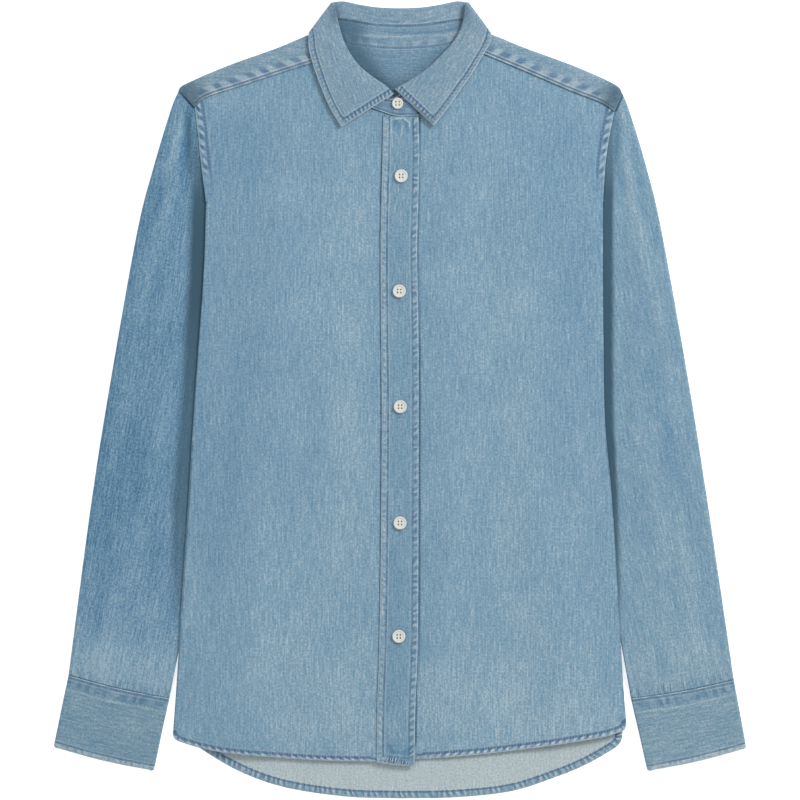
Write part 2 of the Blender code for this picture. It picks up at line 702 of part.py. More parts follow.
def make_collar(name, colour):
    spread = layer(STAND_BACK_LAYER) - layer(0)
    rows = []
    for points, turn, side in collar_stations():
        _, seam, roll, outer = points
        outward = side_normal(roll, outer, side)
        across = (roll - seam).normalized()
        inner_start = seam.lerp(roll, 0.04)
        centre = roll - across * (spread / 2 + WALL / 2)
        section = [neck_point(inner_start.lerp(centre, t), outward, turn, 0.0) for t in (0.0, 0.5)]
        for k in range(ARC_STEPS + 1):
            angle = math.pi * k / ARC_STEPS
            reach = across * (spread / 2 * math.sin(angle))
            section.append(neck_point(centre + reach, outward, turn, spread / 2 * (1 - math.cos(angle))))
        leaf = 5
        for k in range(1, leaf + 1):
            t = k / leaf
            fallen = LEAF_DROP * t * t * max(math.cos(turn), 0.0)
            section.append(neck_point(centre.lerp(outer, t), outward, turn, spread - fallen))
        rows.append(section)
    return wall_object(name, rows, colour)


# ---------------------------------------------------------------- buttons
def button_mesh(radius):
    """Turned disc with a raised rim and four holes through it."""
    profile = (
        # share of the radius, height
        (0.0, 0.0),
        (0.86, 0.0),
        (1.0, BUTTON_ROUNDING),
        (1.0, BUTTON_THICKNESS - BUTTON_ROUNDING),
        (0.92, BUTTON_THICKNESS),
        (1.0 - BUTTON_RIM / radius, BUTTON_THICKNESS),
        (1.0 - (BUTTON_RIM + BUTTON_DISH_SLOPE) / radius, BUTTON_THICKNESS - BUTTON_DISH),
        (0.0, BUTTON_THICKNESS - BUTTON_DISH),
    )
    shape = bmesh.new()
    points = [shape.verts.new((share * radius * MM, 0.0, height * MM)) for share, height in profile]
    edges = [shape.edges.new(pair) for pair in zip(points, points[1:])]
    bmesh.ops.spin(
        shape, geom=points + edges, cent=(0, 0, 0), axis=(0, 0, 1), dvec=(0, 0, 0), angle=math.tau,
        steps=BUTTON_SEGMENTS, use_merge=True,
    )
    bmesh.ops.remove_doubles(shape, verts=shape.verts, dist=0.01 * MM)
    bmesh.ops.recalc_face_normals(shape, faces=shape.faces)
    bmesh.ops.dissolve_limit(shape, angle_limit=math.radians(1.0), verts=shape.verts, edges=shape.edges)
    solid = bpy.data.meshes.new("button_blank")
    shape.to_mesh(solid)
    shape.free()
    blank = bpy.data.objects.new("button_blank", solid)
    bpy.context.collection.objects.link(blank)
    holes = bmesh.new()
    for turn in range(4):
        angle = math.radians(45 + 90 * turn)
        made = bmesh.ops.create_cone(
            holes, cap_ends=True, segments=BUTTON_HOLE_SEGMENTS, radius1=BUTTON_HOLE_RADIUS * MM,
            radius2=BUTTON_HOLE_RADIUS * MM, depth=3 * BUTTON_THICKNESS * MM,
        )
        reach = BUTTON_HOLE_OFFSET * math.sqrt(2.0) * MM
        bmesh.ops.translate(
            holes, verts=made["verts"], vec=(reach * math.cos(angle), reach * math.sin(angle), 0.0)
        )
    drills_mesh = bpy.data.meshes.new("button_drills")
    holes.to_mesh(drills_mesh)
    holes.free()
    drills = bpy.data.objects.new("button_drills", drills_mesh)
    bpy.context.collection.objects.link(drills)
    drills.hide_render = True
    drills.display_type = "WIRE"
    cut = blank.modifiers.new("Holes", "BOOLEAN")
    cut.operation = "DIFFERENCE"
    cut.object = drills
    depsgraph = bpy.context.evaluated_depsgraph_get()
    drilled = bpy.data.meshes.new_from_object(blank.evaluated_get(depsgraph))
    bpy.data.objects.remove(blank)
    bpy.data.objects.remove(drills)
    return drilled


def make_buttons(colour):
    meshes = {radius: button_mesh(radius) for radius in (COLLAR_BUTTON_RADIUS, BUTTON_RADIUS)}
    for number, (x, y) in enumerate(BUTTONS, start=1):
        name = f"button_{number}"
        mesh = meshes[COLLAR_BUTTON_RADIUS if number == 1 else BUTTON_RADIUS].copy()
        mesh.name = name
        mesh.materials.clear()
        mesh.materials.append(make_material(name, colour, 0.35))
        button = bpy.data.objects.new(name, mesh)
        button.location = Vector((x, y, layer(4) + WALL / 2 + GAP)) * MM
        bpy.context.collection.objects.link(button)
        mesh.shade_smooth()
        mesh.set_sharp_from_angle(angle=math.radians(30))


def main():
    for old in list(bpy.data.objects):
        bpy.data.objects.remove(old)
    denim = (0.24, 0.39, 0.51)
    band = (0.20, 0.33, 0.47)
    inside = (0.40, 0.50, 0.56)
    make_back("back", denim)
    make_yoke("yoke", denim)
    make_yoke_inner("yoke_inner", inside)
    make_front("left_front", LEFT, denim)
    make_front("right_front", RIGHT, denim)
    make_placket("placket", band)
    for side, word in ((RIGHT, "right"), (LEFT, "left")):
        make_sleeve(f"sleeve_{word}", side, denim)
        make_cuff(f"cuff_{word}", side, band)
    make_stand("collar_stand", band)
    make_collar("collar", band)
    make_buttons((0.80, 0.78, 0.72))


main()
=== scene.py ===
"""Looks of a denim shirt that lies buttoned on its back: cloth shells, seams, stitches, buttons and a studio.

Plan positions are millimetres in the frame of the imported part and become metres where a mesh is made. The collar
points to +Y, and the wearer's right side lies at -X.
"""

import json
import logging
import math
from dataclasses import dataclass, field
from enum import Enum
from typing import Callable, ClassVar, Optional, Sequence

import bmesh
import bpy
import numpy as np
from mathutils import Matrix, Vector
from mathutils.bvhtree import BVHTree

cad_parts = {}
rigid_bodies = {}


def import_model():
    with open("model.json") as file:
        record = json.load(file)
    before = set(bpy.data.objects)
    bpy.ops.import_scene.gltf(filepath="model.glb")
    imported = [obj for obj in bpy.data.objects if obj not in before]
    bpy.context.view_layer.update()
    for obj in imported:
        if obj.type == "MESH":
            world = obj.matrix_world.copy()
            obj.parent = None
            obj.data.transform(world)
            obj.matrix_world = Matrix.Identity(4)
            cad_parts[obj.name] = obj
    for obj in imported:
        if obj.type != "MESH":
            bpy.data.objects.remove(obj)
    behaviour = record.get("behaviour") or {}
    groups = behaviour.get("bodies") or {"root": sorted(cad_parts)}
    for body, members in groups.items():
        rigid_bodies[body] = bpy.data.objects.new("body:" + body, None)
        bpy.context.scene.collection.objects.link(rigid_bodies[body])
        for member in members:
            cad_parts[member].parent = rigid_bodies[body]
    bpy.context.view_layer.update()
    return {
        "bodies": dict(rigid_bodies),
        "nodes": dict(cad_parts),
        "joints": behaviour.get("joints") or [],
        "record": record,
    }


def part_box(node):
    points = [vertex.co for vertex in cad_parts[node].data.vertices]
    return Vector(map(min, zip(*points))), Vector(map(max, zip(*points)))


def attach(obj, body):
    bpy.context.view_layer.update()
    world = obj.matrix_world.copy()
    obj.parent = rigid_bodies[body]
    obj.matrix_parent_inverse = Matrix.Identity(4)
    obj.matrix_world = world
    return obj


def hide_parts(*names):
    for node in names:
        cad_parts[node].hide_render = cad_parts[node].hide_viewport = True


log = logging.getLogger("denim_shirt")

MM = 0.001  # metres in a millimetre
WALL = 1.0
PITCH = 1.3  # from one layer of cloth to the next
CUFF_WALL = 1.4
CUFF_HOLLOW = 0.9
CUFF_CORNER = 2.4  # radius of the cuff's rounded corners
HALF_WIDTH = 319.0
MARGIN_DEPTH = 60.0
MARGIN_SLOPE = 45.0
FOLD_TOP_Y = 182.0
UNDERARM_Y = 146.0
YOKE_BACK_Y = 228.0
ARC_STEPS = 6  # faces round a fold
BACK_ROWS = 10  # rows of the back and its margins above the top of the side folds
BACK_TUCK = 3.2  # how far the edges of the back lie in from the side folds
STITCH = 2.7  # length of a topstitch with its gap
NO_SEAM = 40.0  # distance that stands for no seam near
ABOVE_ALL = 0.03  # metres, a height above every piece
LEAF_STITCH = 5.2  # from the leaf's edge to its stitches
BACK_STITCH = 5.8  # from the back's hem to its stitches
CUFF_STITCHES = (1.9, 4.8)  # from the cuff's seam and from its edge
STAND_STITCHES = (1.6, 2.2)  # from the neck seam and from the collar seam
PLACKET_STITCHES = (5.6, 5.4)  # from the sewn edge and from the free edge
ARMHOLE_STITCH = 8.4  # from the armhole to its stitches
SEAM_GAP = 37.0  # way between two seams that don't join, so that their puckers differ
SENSOR = 36.0  # width of the camera's sensor
BATCH = 4000  # points that seam_field handles at a time
STATION_ROWS = 7  # rows from one station of the collar to the next

SIDE_FOLDS = (
    # y, right, left
    (182.0, -178.6, 187.0),
    (120.0, -180.6, 186.8),
    (50.0, -185.4, 187.4),
    (-20.0, -190.4, 188.8),
    (-90.0, -194.6, 195.0),
    (-180.0, -200.6, 200.6),
    (-260.0, -205.6, 205.4),
    (-304.0, -208.8, 208.4),
)
ARMHOLES = {
    -1: ((-189.4, 269.7), (-186.3, 246.0), (-183.4, 218.0), (-178.6, 182.0)),
    1: ((197.6, 265.9), (192.4, 240.0), (189.2, 216.0), (187.0, 182.0)),
}
# way in from the side fold, y
MARGIN_ARMHOLE = ((20.0, 172.0), (40.0, 158.5), (54.0, UNDERARM_Y))
SHOULDERS = {
    -1: ((-75.0, 339.4), (-88.8, 334.0), (-114.5, 323.4), (-160.5, 306.8), (-198.3, 290.3), (-203.4, 285.0)),
    1: ((75.0, 339.4), (90.4, 334.0), (116.4, 323.4), (161.5, 306.8), (197.8, 290.3), (204.8, 281.5)),
}
YOKE_SEAMS = {
    -1: ((-62.0, 316.8), (-107.9, 302.0), (-145.5, 289.6), (-178.0, 279.0), (-189.4, 269.7)),
    1: ((62.0, 325.0), (104.8, 307.3), (154.7, 285.9), (184.0, 274.4), (197.6, 265.9)),
}
NECKS = {
    -1: ((14.8, 260.6), (0.0, 260.8), (-24.0, 266.6), (-46.0, 280.0), (-57.0, 295.0), (-62.0, 316.4)),
    1: ((-14.0, 260.6), (6.0, 260.8), (26.0, 267.0), (46.0, 281.0), (57.0, 298.0), (62.0, 324.6)),
}
FRONT_HEMS = {
    -1: ((11.2, -333.4), (-21.0, -333.0), (-80.0, -331.6), (-150.4, -326.0), (-178.0, -321.5), (-196.0, -316.6),
         (-206.2, -312.6), (-209.0, -308.0)),
    1: ((-14.0, -333.0), (15.0, -331.0), (74.0, -326.4), (132.5, -319.2), (183.5, -311.0), (199.0, -306.8),
        (206.2, -303.8), (208.4, -299.0)),
}
MARGIN_HEM_RISE = 16.0
BACK_HEM = (
    (-206.0, -304.0), (-188.0, -318.2), (-150.0, -341.0), (-107.6, -356.4), (-51.0, -365.2), (0.0, -367.0),
    (51.0, -366.0), (103.0, -360.2), (147.0, -346.0), (172.0, -335.4), (190.0, -325.4), (200.4, -318.6),
    (204.6, -311.6), (205.4, -304.0),
)
PLACKET = (
    # y, outer edge, free edge
    (260.6, -15.4, 16.8),
    (228.0, -15.9, 17.6),
    (181.0, -17.2, 16.6),
    (137.0, -17.9, 15.7),
    (60.0, -17.4, 16.8),
    (-10.0, -16.8, 17.0),
    (-110.0, -17.4, 16.8),
    (-185.0, -18.3, 16.6),
    (-237.0, -19.4, 15.8),
    (-285.0, -21.0, 14.0),
    (-333.4, -21.4, 13.2),
)
PLACKET_FOOT_DROP = 3.6
SLEEVE_OUTER = {
    -1: ((-203.4, 285.0), (-211.1, 266.2), (-227.7, 211.0), (-242.0, 154.0), (-266.3, 17.8), (-283.8, -92.6),
         (-305.2, -253.4)),
    1: ((204.8, 281.5), (211.1, 266.2), (227.7, 211.0), (241.0, 154.0), (265.4, 17.8), (282.9, -92.6),
        (307.4, -257.8)),
}
CUFFS = {
    # outer and inner end of the seam, outer and inner end of the edge
    -1: ((-305.2, -253.8), (-212.4, -275.0), (-HALF_WIDTH, -319.6), (-226.6, -341.6)),
    1: ((307.4, -258.2), (212.6, -275.2), (HALF_WIDTH, -320.6), (227.8, -341.8)),
}
CUFF_BOW = 1.6
LEAVES = {
    -1: (
        # neck seam, collar seam, roll, outer edge
        ((-22.0, 267.4), (-11.5, 276.0), (-5.4, 282.0), (-54.0, 250.8)),
        ((-33.0, 272.4), (-21.6, 282.8), (-14.0, 289.8), (-63.6, 266.8)),
        ((-44.5, 281.0), (-32.9, 292.0), (-25.2, 297.4), (-70.6, 282.0)),
        ((-54.0, 292.5), (-42.8, 301.8), (-36.2, 306.4), (-76.4, 297.6)),
        ((-62.0, 308.0), (-51.6, 314.0), (-45.0, 317.6), (-81.2, 312.4)),
        ((-66.5, 321.0), (-58.0, 328.2), (-52.0, 331.6), (-84.0, 324.4)),
        ((-69.2, 331.0), (-61.8, 341.4), (-56.6, 347.0), (-84.2, 331.0)),
    ),
    1: (
        ((22.0, 267.4), (1.0, 281.2), (-5.2, 286.2), (31.2, 251.8)),
        ((31.0, 272.0), (13.4, 284.6), (4.5, 291.2), (45.5, 270.6)),
        ((42.5, 281.0), (26.2, 292.4), (17.0, 299.2), (56.5, 286.2)),
        ((52.5, 293.0), (37.9, 301.9), (28.2, 307.8), (66.0, 299.6)),
        ((61.0, 308.0), (47.3, 314.2), (38.2, 317.8), (74.6, 313.8)),
        ((66.3, 321.0), (56.8, 327.6), (49.6, 330.6), (81.4, 325.6)),
        ((69.2, 331.0), (61.9, 341.2), (57.0, 345.0), (84.0, 331.4)),
    ),
}
COLLAR_BACK = (
    # neck seam, collar seam, roll, outer edge, turn in degrees
    ((-70.0, 335.6), (-63.6, 351.0), (-60.2, 363.8), (-83.6, 335.4), 0.0),
    ((-70.0, 335.6), (-63.6, 351.0), (-60.2, 363.8), (-81.4, 335.4), 45.0),
    ((-70.0, 335.6), (-63.6, 351.0), (-60.2, 364.0), (-80.4, 335.4), 90.0),
    ((-70.0, 335.6), (-63.6, 351.0), (-60.2, 364.8), (-80.8, 335.4), 135.0),
    ((-69.6, 335.8), (-63.0, 351.4), (-59.6, 366.2), (-81.0, 335.2), 180.0),
    ((-58.0, 330.6), (-54.6, 351.0), (-52.8, 367.0), (-66.0, 322.0), 180.0),
    ((-38.0, 325.8), (-36.6, 348.2), (-35.4, 363.6), (-42.0, 317.0), 180.0),
    ((-19.0, 323.4), (-18.4, 346.0), (-17.8, 361.2), (-21.0, 315.4), 180.0),
    ((0.0, 322.6), (0.0, 345.3), (0.0, 360.6), (0.0, 314.8), 180.0),
)
STAND_ENDS = {
    # neck seam, collar seam, layer
    -1: (((17.0, 261.8), (13.0, 271.6), 4.0), ((0.0, 261.4), (2.0, 277.0), 4.0)),
    1: (((-8.0, 265.4), (-7.0, 276.6), 3.0), ((5.0, 263.8), (-2.6, 278.6), 3.0), ((17.5, 265.4), (-0.4, 279.8), 3.0)),
}
COLLAR_LAYER = 4.0
STAND_BACK_LAYER = 1.5
LEAF_DROP = 0.9
BUTTONS = ((-2.2, 272.6), (1.1, 205.9), (-0.7, 100.0), (0.2, -6.3), (0.0, -113.3), (-1.1, -217.6))

Numbers = float | np.ndarray
Plan = np.ndarray  # points in plan, x and y
Socket = bpy.types.NodeSocket
Tree = bpy.types.NodeTree


class Side(Enum):
    """Side of the shirt as its wearer names it, with the sign of its x."""

    RIGHT = -1
    LEFT = 1


# ------------------------------------------------------------------------------------------ curves and heights
def layer(number: Numbers) -> Numbers:
    """Height of the middle of a wall that lies in this layer."""
    return WALL / 2 + number * PITCH


def ramp(start: float, end: float, value: Numbers) -> Numbers:
    """Smooth step from 0 at start to 1 at end; start may be the larger."""
    t = np.clip((np.asarray(value, float) - start) / (end - start), 0.0, 1.0)
    return t * t * (3.0 - 2.0 * t)


def mix(a: Numbers, b: Numbers, t: Numbers) -> Numbers:
    """Straight blend from a to b."""
    return a + (b - a) * t


def bell(value: Numbers, middle: float, width: float) -> Numbers:
    """Soft hump, 1 high at middle."""
    return np.exp(-(((value - middle) / width) ** 2))


def xy(plan: np.ndarray) -> tuple[np.ndarray, np.ndarray]:
    """x and y of each plan point."""
    return plan[..., 0], plan[..., 1]


def unit(vectors: np.ndarray) -> np.ndarray:
    """The vectors, each made 1 long."""
    return vectors / np.linalg.norm(vectors, axis=1, keepdims=True)


def way_along(points: np.ndarray) -> np.ndarray:
    """Length run through at each of the points."""
    return np.concatenate([[0.0], np.cumsum(np.linalg.norm(np.diff(points, axis=0), axis=1))])


def shares_along(points: Plan) -> np.ndarray:
    """Share of the whole length run through at each of the points."""
    run = way_along(points)
    return run / run[-1]


def side_fold_x(y: Numbers, side: int) -> np.ndarray:
    """x of the body's side fold at this y."""
    table = np.array(SIDE_FOLDS)
    return np.interp(y, table[::-1, 0], table[::-1, 1 if side < 0 else 2])


class Curve:
    """Curve in plan, read by share of its length."""

    def __init__(self, *runs: Sequence[Sequence[float]], smooth: bool = True) -> None:
        """Joins runs of points; each run is smooth, and the joins keep their corners.

        Args:
            runs: lists of plan points; a run starts where the one before it ends.
            smooth: False keeps straight lines between the points.
        """
        fine: list[np.ndarray] = []
        for run in runs:
            points = np.array([tuple(p) for p in run], float)
            fine.append(self._soften(points) if smooth and len(points) > 2 else points)
        self.points = np.vstack(fine)
        steps = np.linalg.norm(np.diff(self.points, axis=0), axis=1)
        self.points = self.points[np.insert(steps > 1e-6, 0, True)]
        self.run = way_along(self.points)
        self.length = float(self.run[-1])

    @staticmethod
    def _soften(points: np.ndarray) -> np.ndarray:
        """Catmull-Rom curve through the points."""
        ends = np.vstack([2 * points[0] - points[1], points, 2 * points[-1] - points[-2]])
        t = np.linspace(0.0, 1.0, 16, endpoint=False)[:, None]
        made = []
        for a, b, c, d in zip(ends, ends[1:], ends[2:], ends[3:]):
            made.append((2 * b + (c - a) * t + (2 * a - 5 * b + 4 * c - d) * t**2
                         + (3 * b - a - 3 * c + d) * t**3) / 2)
        return np.vstack([*made, points[-1:]])

    def at(self, shares: np.ndarray) -> Plan:
        """Plan points at these shares of the length."""
        wanted = np.asarray(shares) * self.length
        return np.stack([np.interp(wanted, self.run, column) for column in self.points.T], axis=-1)

    def inset(self, distance: float) -> "Curve":
        """The curve moved sideways, to the left of its direction where distance is positive."""
        along = np.gradient(self.points, axis=0)
        along /= np.maximum(np.linalg.norm(along, axis=1, keepdims=True), 1e-9)
        normal = np.stack([-along[:, 1], along[:, 0]], axis=1)
        return Curve(self.points + normal * distance, smooth=False)


def uneven(length: float, edge: float, middle: float, fine: float, both: bool = True) -> np.ndarray:
    """Shares from 0 to 1 with close steps near the ends and wide ones between.

    Args:
        length: real length in millimetres.
        edge: step near the ends.
        middle: step elsewhere.
        fine: width of the finely stepped stretch.
        both: False steps closely near the far end only.
    """
    s = [0.0]
    while s[-1] < length:
        near = length - s[-1] if not both else min(s[-1], length - s[-1])
        s.append(s[-1] + mix(edge, middle, float(ramp(fine, fine * 2.5, near))))
    return np.array(s) / s[-1]


def span_edges(top: Plan, bottom: Plan, first: Plan, last: Plan, across: np.ndarray, down: np.ndarray) -> Plan:
    """Plan points between four edges, as rows; top and bottom run across, first and last run down."""
    u, v = across[None, :, None], down[:, None, None]
    ruled = top[None] * (1 - v) + bottom[None] * v + first[:, None] * (1 - u) + last[:, None] * u
    corners = (top[0] * (1 - u) + top[-1] * u) * (1 - v) + (bottom[0] * (1 - u) + bottom[-1] * u) * v
    return ruled - corners


def over(plan: Plan, height: Numbers) -> np.ndarray:
    """Points over plan points at this height."""
    z = np.broadcast_to(np.asarray(height, float), plan.shape[:-1])
    return np.concatenate([plan, z[..., None]], axis=-1)


def fold(edge: Plan, outward: Plan, high: np.ndarray, low: np.ndarray) -> np.ndarray:
    """Rows of points half round a fold, from the wall at high to the wall at low."""
    angle = np.linspace(0.0, math.pi, ARC_STEPS + 1)
    radius = np.abs(high - low) / 2
    middle, turn = (high + low) / 2, np.sign(high - low)
    plan = edge[:, None] + outward[:, None] * (radius[:, None] * np.sin(angle))[..., None]
    return over(plan, middle[:, None] + (turn * radius)[:, None] * np.cos(angle))


def margin_share(x: np.ndarray, y: np.ndarray, side: int) -> np.ndarray:
    """1 over the folded-in side margin, 0 towards the middle and above the armhole's foot."""
    inward = np.abs(side_fold_x(y, side)) - np.abs(x)
    return ramp(MARGIN_DEPTH + MARGIN_SLOPE, MARGIN_DEPTH + 3.0, inward) * ramp(236.0, 172.0, y)


def collar_lift(x: np.ndarray, y: np.ndarray) -> np.ndarray:
    """The yoke lies one layer up where the back of the collar's fall is under it."""
    return ramp(288.0, 309.0, y) * ramp(116.0, 94.0, np.abs(x))


@dataclass(frozen=True)
class Crease:
    """One soft trough or ridge in the cloth."""

    x: float
    y: float
    length: float
    width: float
    rise: float
    heading: float  # degrees from +X

    def lift(self, x: np.ndarray, y: np.ndarray) -> np.ndarray:
        """Height that the crease adds at each plan point; a trough's is negative."""
        c, s = math.cos(math.radians(self.heading)), math.sin(math.radians(self.heading))
        along = (x - self.x) * c + (y - self.y) * s
        across = -(x - self.x) * s + (y - self.y) * c
        bend = across + 0.12 * self.width * np.sin(along / max(self.length, 1.0) * 5.0)
        return self.rise * np.exp(-((bend / self.width) ** 2)) * np.exp(-((along / (self.length / 2)) ** 4))


Creases = tuple[Crease, ...]


def crease_table(*rows: tuple[float, float, float, float, float, float]) -> Creases:
    """Creases from rows of x, y, length, width, rise and heading."""
    return tuple(Crease(*row) for row in rows)


def relief(creases: Sequence[Crease], x: np.ndarray, y: np.ndarray) -> np.ndarray:
    """Sum of the creases at each plan point."""
    total = np.zeros_like(np.asarray(x, float))
    for crease in creases:
        total = total + crease.lift(x, y)
    return total


# ------------------------------------------------------------------------------------------ finishes
def linear(hex_colour: str) -> tuple[float, float, float, float]:
    """Linear colour of an sRGB hex value such as "#8AA9BE"."""
    channels = [int(hex_colour[k : k + 2], 16) / 255.0 for k in (1, 3, 5)]
    return (*[c / 12.92 if c <= 0.04045 else ((c + 0.055) / 1.055) ** 2.4 for c in channels], 1.0)


def add_node(tree: Tree, kind: str, settings: Optional[dict] = None, **links: object) -> bpy.types.Node:
    """Adds a node.

    Args:
        tree: the material's node tree.
        kind: the node's type, without the ShaderNode that every one starts with.
        settings: properties, and input values under their socket's name or number.
        links: output sockets, or nodes whose first output is meant, by input name, with _ for a space and a leading
            i before a number.

    Returns:
        The node.
    """
    node = tree.nodes.new(f"ShaderNode{kind}")
    for key, value in (settings or {}).items():
        if isinstance(key, str) and hasattr(node, key):
            setattr(node, key, value)
        else:
            node.inputs[key].default_value = value
    for key, source in links.items():
        name = int(key[1:]) if key[0] == "i" and key[1:].isdigit() else key.replace("_", " ")
        tree.links.new(source.outputs[0] if isinstance(source, bpy.types.Node) else source, node.inputs[name])
    return node


def new_material(name: str, values: dict) -> tuple[bpy.types.Material, Tree, bpy.types.Node]:
    """A material with these values on its shader's own sockets.

    Returns:
        The material, its node tree and its shader.
    """
    material = bpy.data.materials.new(name)
    material.use_nodes = True
    shader = material.node_tree.nodes["Principled BSDF"]
    for socket, value in values.items():
        shader.inputs[socket].default_value = value
    return material, material.node_tree, shader


@dataclass(frozen=True)
class Denim:
    """Washed indigo denim, a warp-faced twill: blue warp over white weft, matt, with slubs down the warp.

    The washed face goes from light to dark along its yarns; grooves are deep in colour and rubbed ridges pale. The
    yarns are 0.5 mm, too fine to show, so the speckle is drawn at 1.9 mm and the slubs at 1.1 mm.
    """

    name: str
    light: str = "#A8BAC3"
    middle: str = "#7E9BAD"
    dark: str = "#5C849F"
    deep: str = "#3D6488"
    pale: str = "#B9C8D1"
    # colour of painted shade, where shade falls in hollows, in corners and under edges
    painted_shade: str = "#3B5768"
    contrast: float = 1.0
    pucker_pitch: float = 7.0
    pucker_slant: float = 20.0
    pucker_uneven: float = 3.2
    pucker_strength: float = 0.6
    rubbed: float = 0.3
    stitch_tone: float = 0.75
    stitch_width: float = 0.7
    edge_width: float = 0.5
    evenness: float = 0.35  # how strong the faintest puckers are
    stitch_even: float = 1.0  # how dark the palest stretches of a stitch line are
    wear: float = 0.75
    inside: Optional[str] = None
    weft: str = "#C4CFD1"

    def material(self) -> bpy.types.Material:
        """Builds the material, which reads the point attributes grain, seam and trim."""
        material, tree, shader = new_material(
            self.name, {"Roughness": 0.88, "Specular IOR Level": 0.15, "Sheen Weight": 0.1, "Sheen Roughness": 0.5})
        grain, seam, trim = (
            add_node(tree, "Attribute", {"attribute_name": name}).outputs["Vector"]
            for name in ("grain", "seam", "trim")
        )
        yarn = self._yarn(tree, grain)
        colour = self._wash(tree, yarn)
        colour, height = self._seams(tree, seam, trim, colour)
        if self.inside:
            colour = self._turned_in(tree, seam, colour, yarn, grain)
        # painted shade: the third value of trim blends the colour towards painted_shade
        sunk = add_node(tree, "SeparateXYZ", {}, Vector=trim)
        shaded = add_node(tree, "Mix", {"data_type": "RGBA", 7: linear(self.painted_shade)}, i0=sunk.outputs[2], i6=colour)
        tree.links.new(shaded.outputs[2], shader.inputs["Base Color"])
        weave = add_node(tree, "Bump", {"Strength": 0.5, "Distance": 0.25 * MM}, Height=yarn)
        folds = add_node(tree, "Bump", {"Strength": 0.9, "Distance": 0.8 * MM}, Height=height, Normal=weave)
        tree.links.new(folds.outputs[0], shader.inputs["Normal"])
        return material

    def _yarn(self, tree: Tree, grain: Socket) -> Socket:
        """Uneven yarn from 0 for dark to 1 for light: speckle, slubs, short dark flecks and broad clouds."""
        layers = (
            # width and length of the marks in mm, weight, octaves
            (1.9, 1.9, 0.50, 3.0),
            (1.1, 26.0, 0.30, 1.0),
            (2.2, 8.0, 0.20, 1.0),
            (30.0, 75.0, 0.13, 2.0),
        )
        # the sum starts from each point's wash_and_shade value, wash with painted shade and highlight on some pieces
        total = add_node(tree, "SeparateXYZ", {}, Vector=grain).outputs[2]
        for number, (width, length, weight, detail) in enumerate(layers):
            place = add_node(
                tree, "Mapping",
                {"Scale": (1.0 / width, 1.0 / length, 1.0), "Location": (number * 17.3, number * 5.1, 0.0)},
                Vector=grain,
            )
            noise = add_node(tree, "TexNoise", {"noise_dimensions": "2D", "Scale": 1.0, "Detail": detail},
                             Vector=place)
            total = add_node(tree, "Math", {"operation": "MULTIPLY_ADD", 1: weight}, i0=noise, i2=total).outputs[0]
        half, mean = 0.22 / self.contrast, 0.595
        return add_node(tree, "MapRange", {1: mean - half, 2: mean + half}, Value=total).outputs[0]

    def _wash(self, tree: Tree, yarn: Socket) -> Socket:
        """Colour of the washed face."""
        washed = add_node(tree, "ValToRGB", {}, Fac=yarn)
        stops = washed.color_ramp
        stops.elements[0].color = linear(self.dark)
        stops.elements[1].color = linear(self.light)
        stops.elements.new(0.5).color = linear(self.middle)
        return washed.outputs[0]

    @staticmethod
    def _line(tree: Tree, distance: Socket, place: float | Socket, half: float, amount: float) -> Socket:
        """A soft line that keeps its place from the edge.

        Args:
            tree: the material's nodes.
            distance: distance from the edge in millimetres.
            place: distance at which the line runs.
            half: half its width, softened over as much again.
            amount: its value in the middle.
        """
        off = add_node(tree, "Math", {"operation": "SUBTRACT"}, i0=distance)
        if isinstance(place, float):
            off.inputs[1].default_value = place
        else:
            tree.links.new(place, off.inputs[1])
        off = add_node(tree, "Math", {"operation": "ABSOLUTE"}, i0=off)
        return add_node(tree, "MapRange", {
            "interpolation_type": "SMOOTHSTEP", 1: 2 * half, 2: half * 0.4, 4: amount}, Value=off).outputs[0]

    def _seams(self, tree: Tree, seam: Socket, trim: Socket, colour: Socket) -> tuple[Socket, Socket]:
        """Puckers, the stitched groove and the worn edge along seams.

        Args:
            tree: the material's nodes.
            seam: way along the seam, distance from it and distance of its stitches.
            trim: strength of the puckers and of the worn edge.
            colour: colour of the washed face.

        Returns:
            The colour and the height of the puckers.
        """
        way, distance, allowance = add_node(tree, "SeparateXYZ", {}, Vector=seam).outputs
        pucker, worn, _ = add_node(tree, "SeparateXYZ", {}, Vector=trim).outputs
        reach = add_node(tree, "Attribute", {"attribute_name": "reach"}).outputs["Fac"]
        share = add_node(tree, "Math", {"operation": "DIVIDE"}, i0=distance, i1=reach)
        turned = add_node(tree, "Mapping", {"Rotation": (0, 0, math.radians(self.pucker_slant))}, Vector=seam)
        # a wave of scale 1 repeats every pi / 10, so this gives one pucker a pitch
        wave = add_node(
            tree, "TexWave",
            {"wave_type": "BANDS", "bands_direction": "X", "Scale": 0.31416 / self.pucker_pitch,
             "Distortion": self.pucker_uneven, "Detail": 1.0, "Detail Scale": 1.3, "Detail Roughness": 0.5},
            Vector=turned,
        )
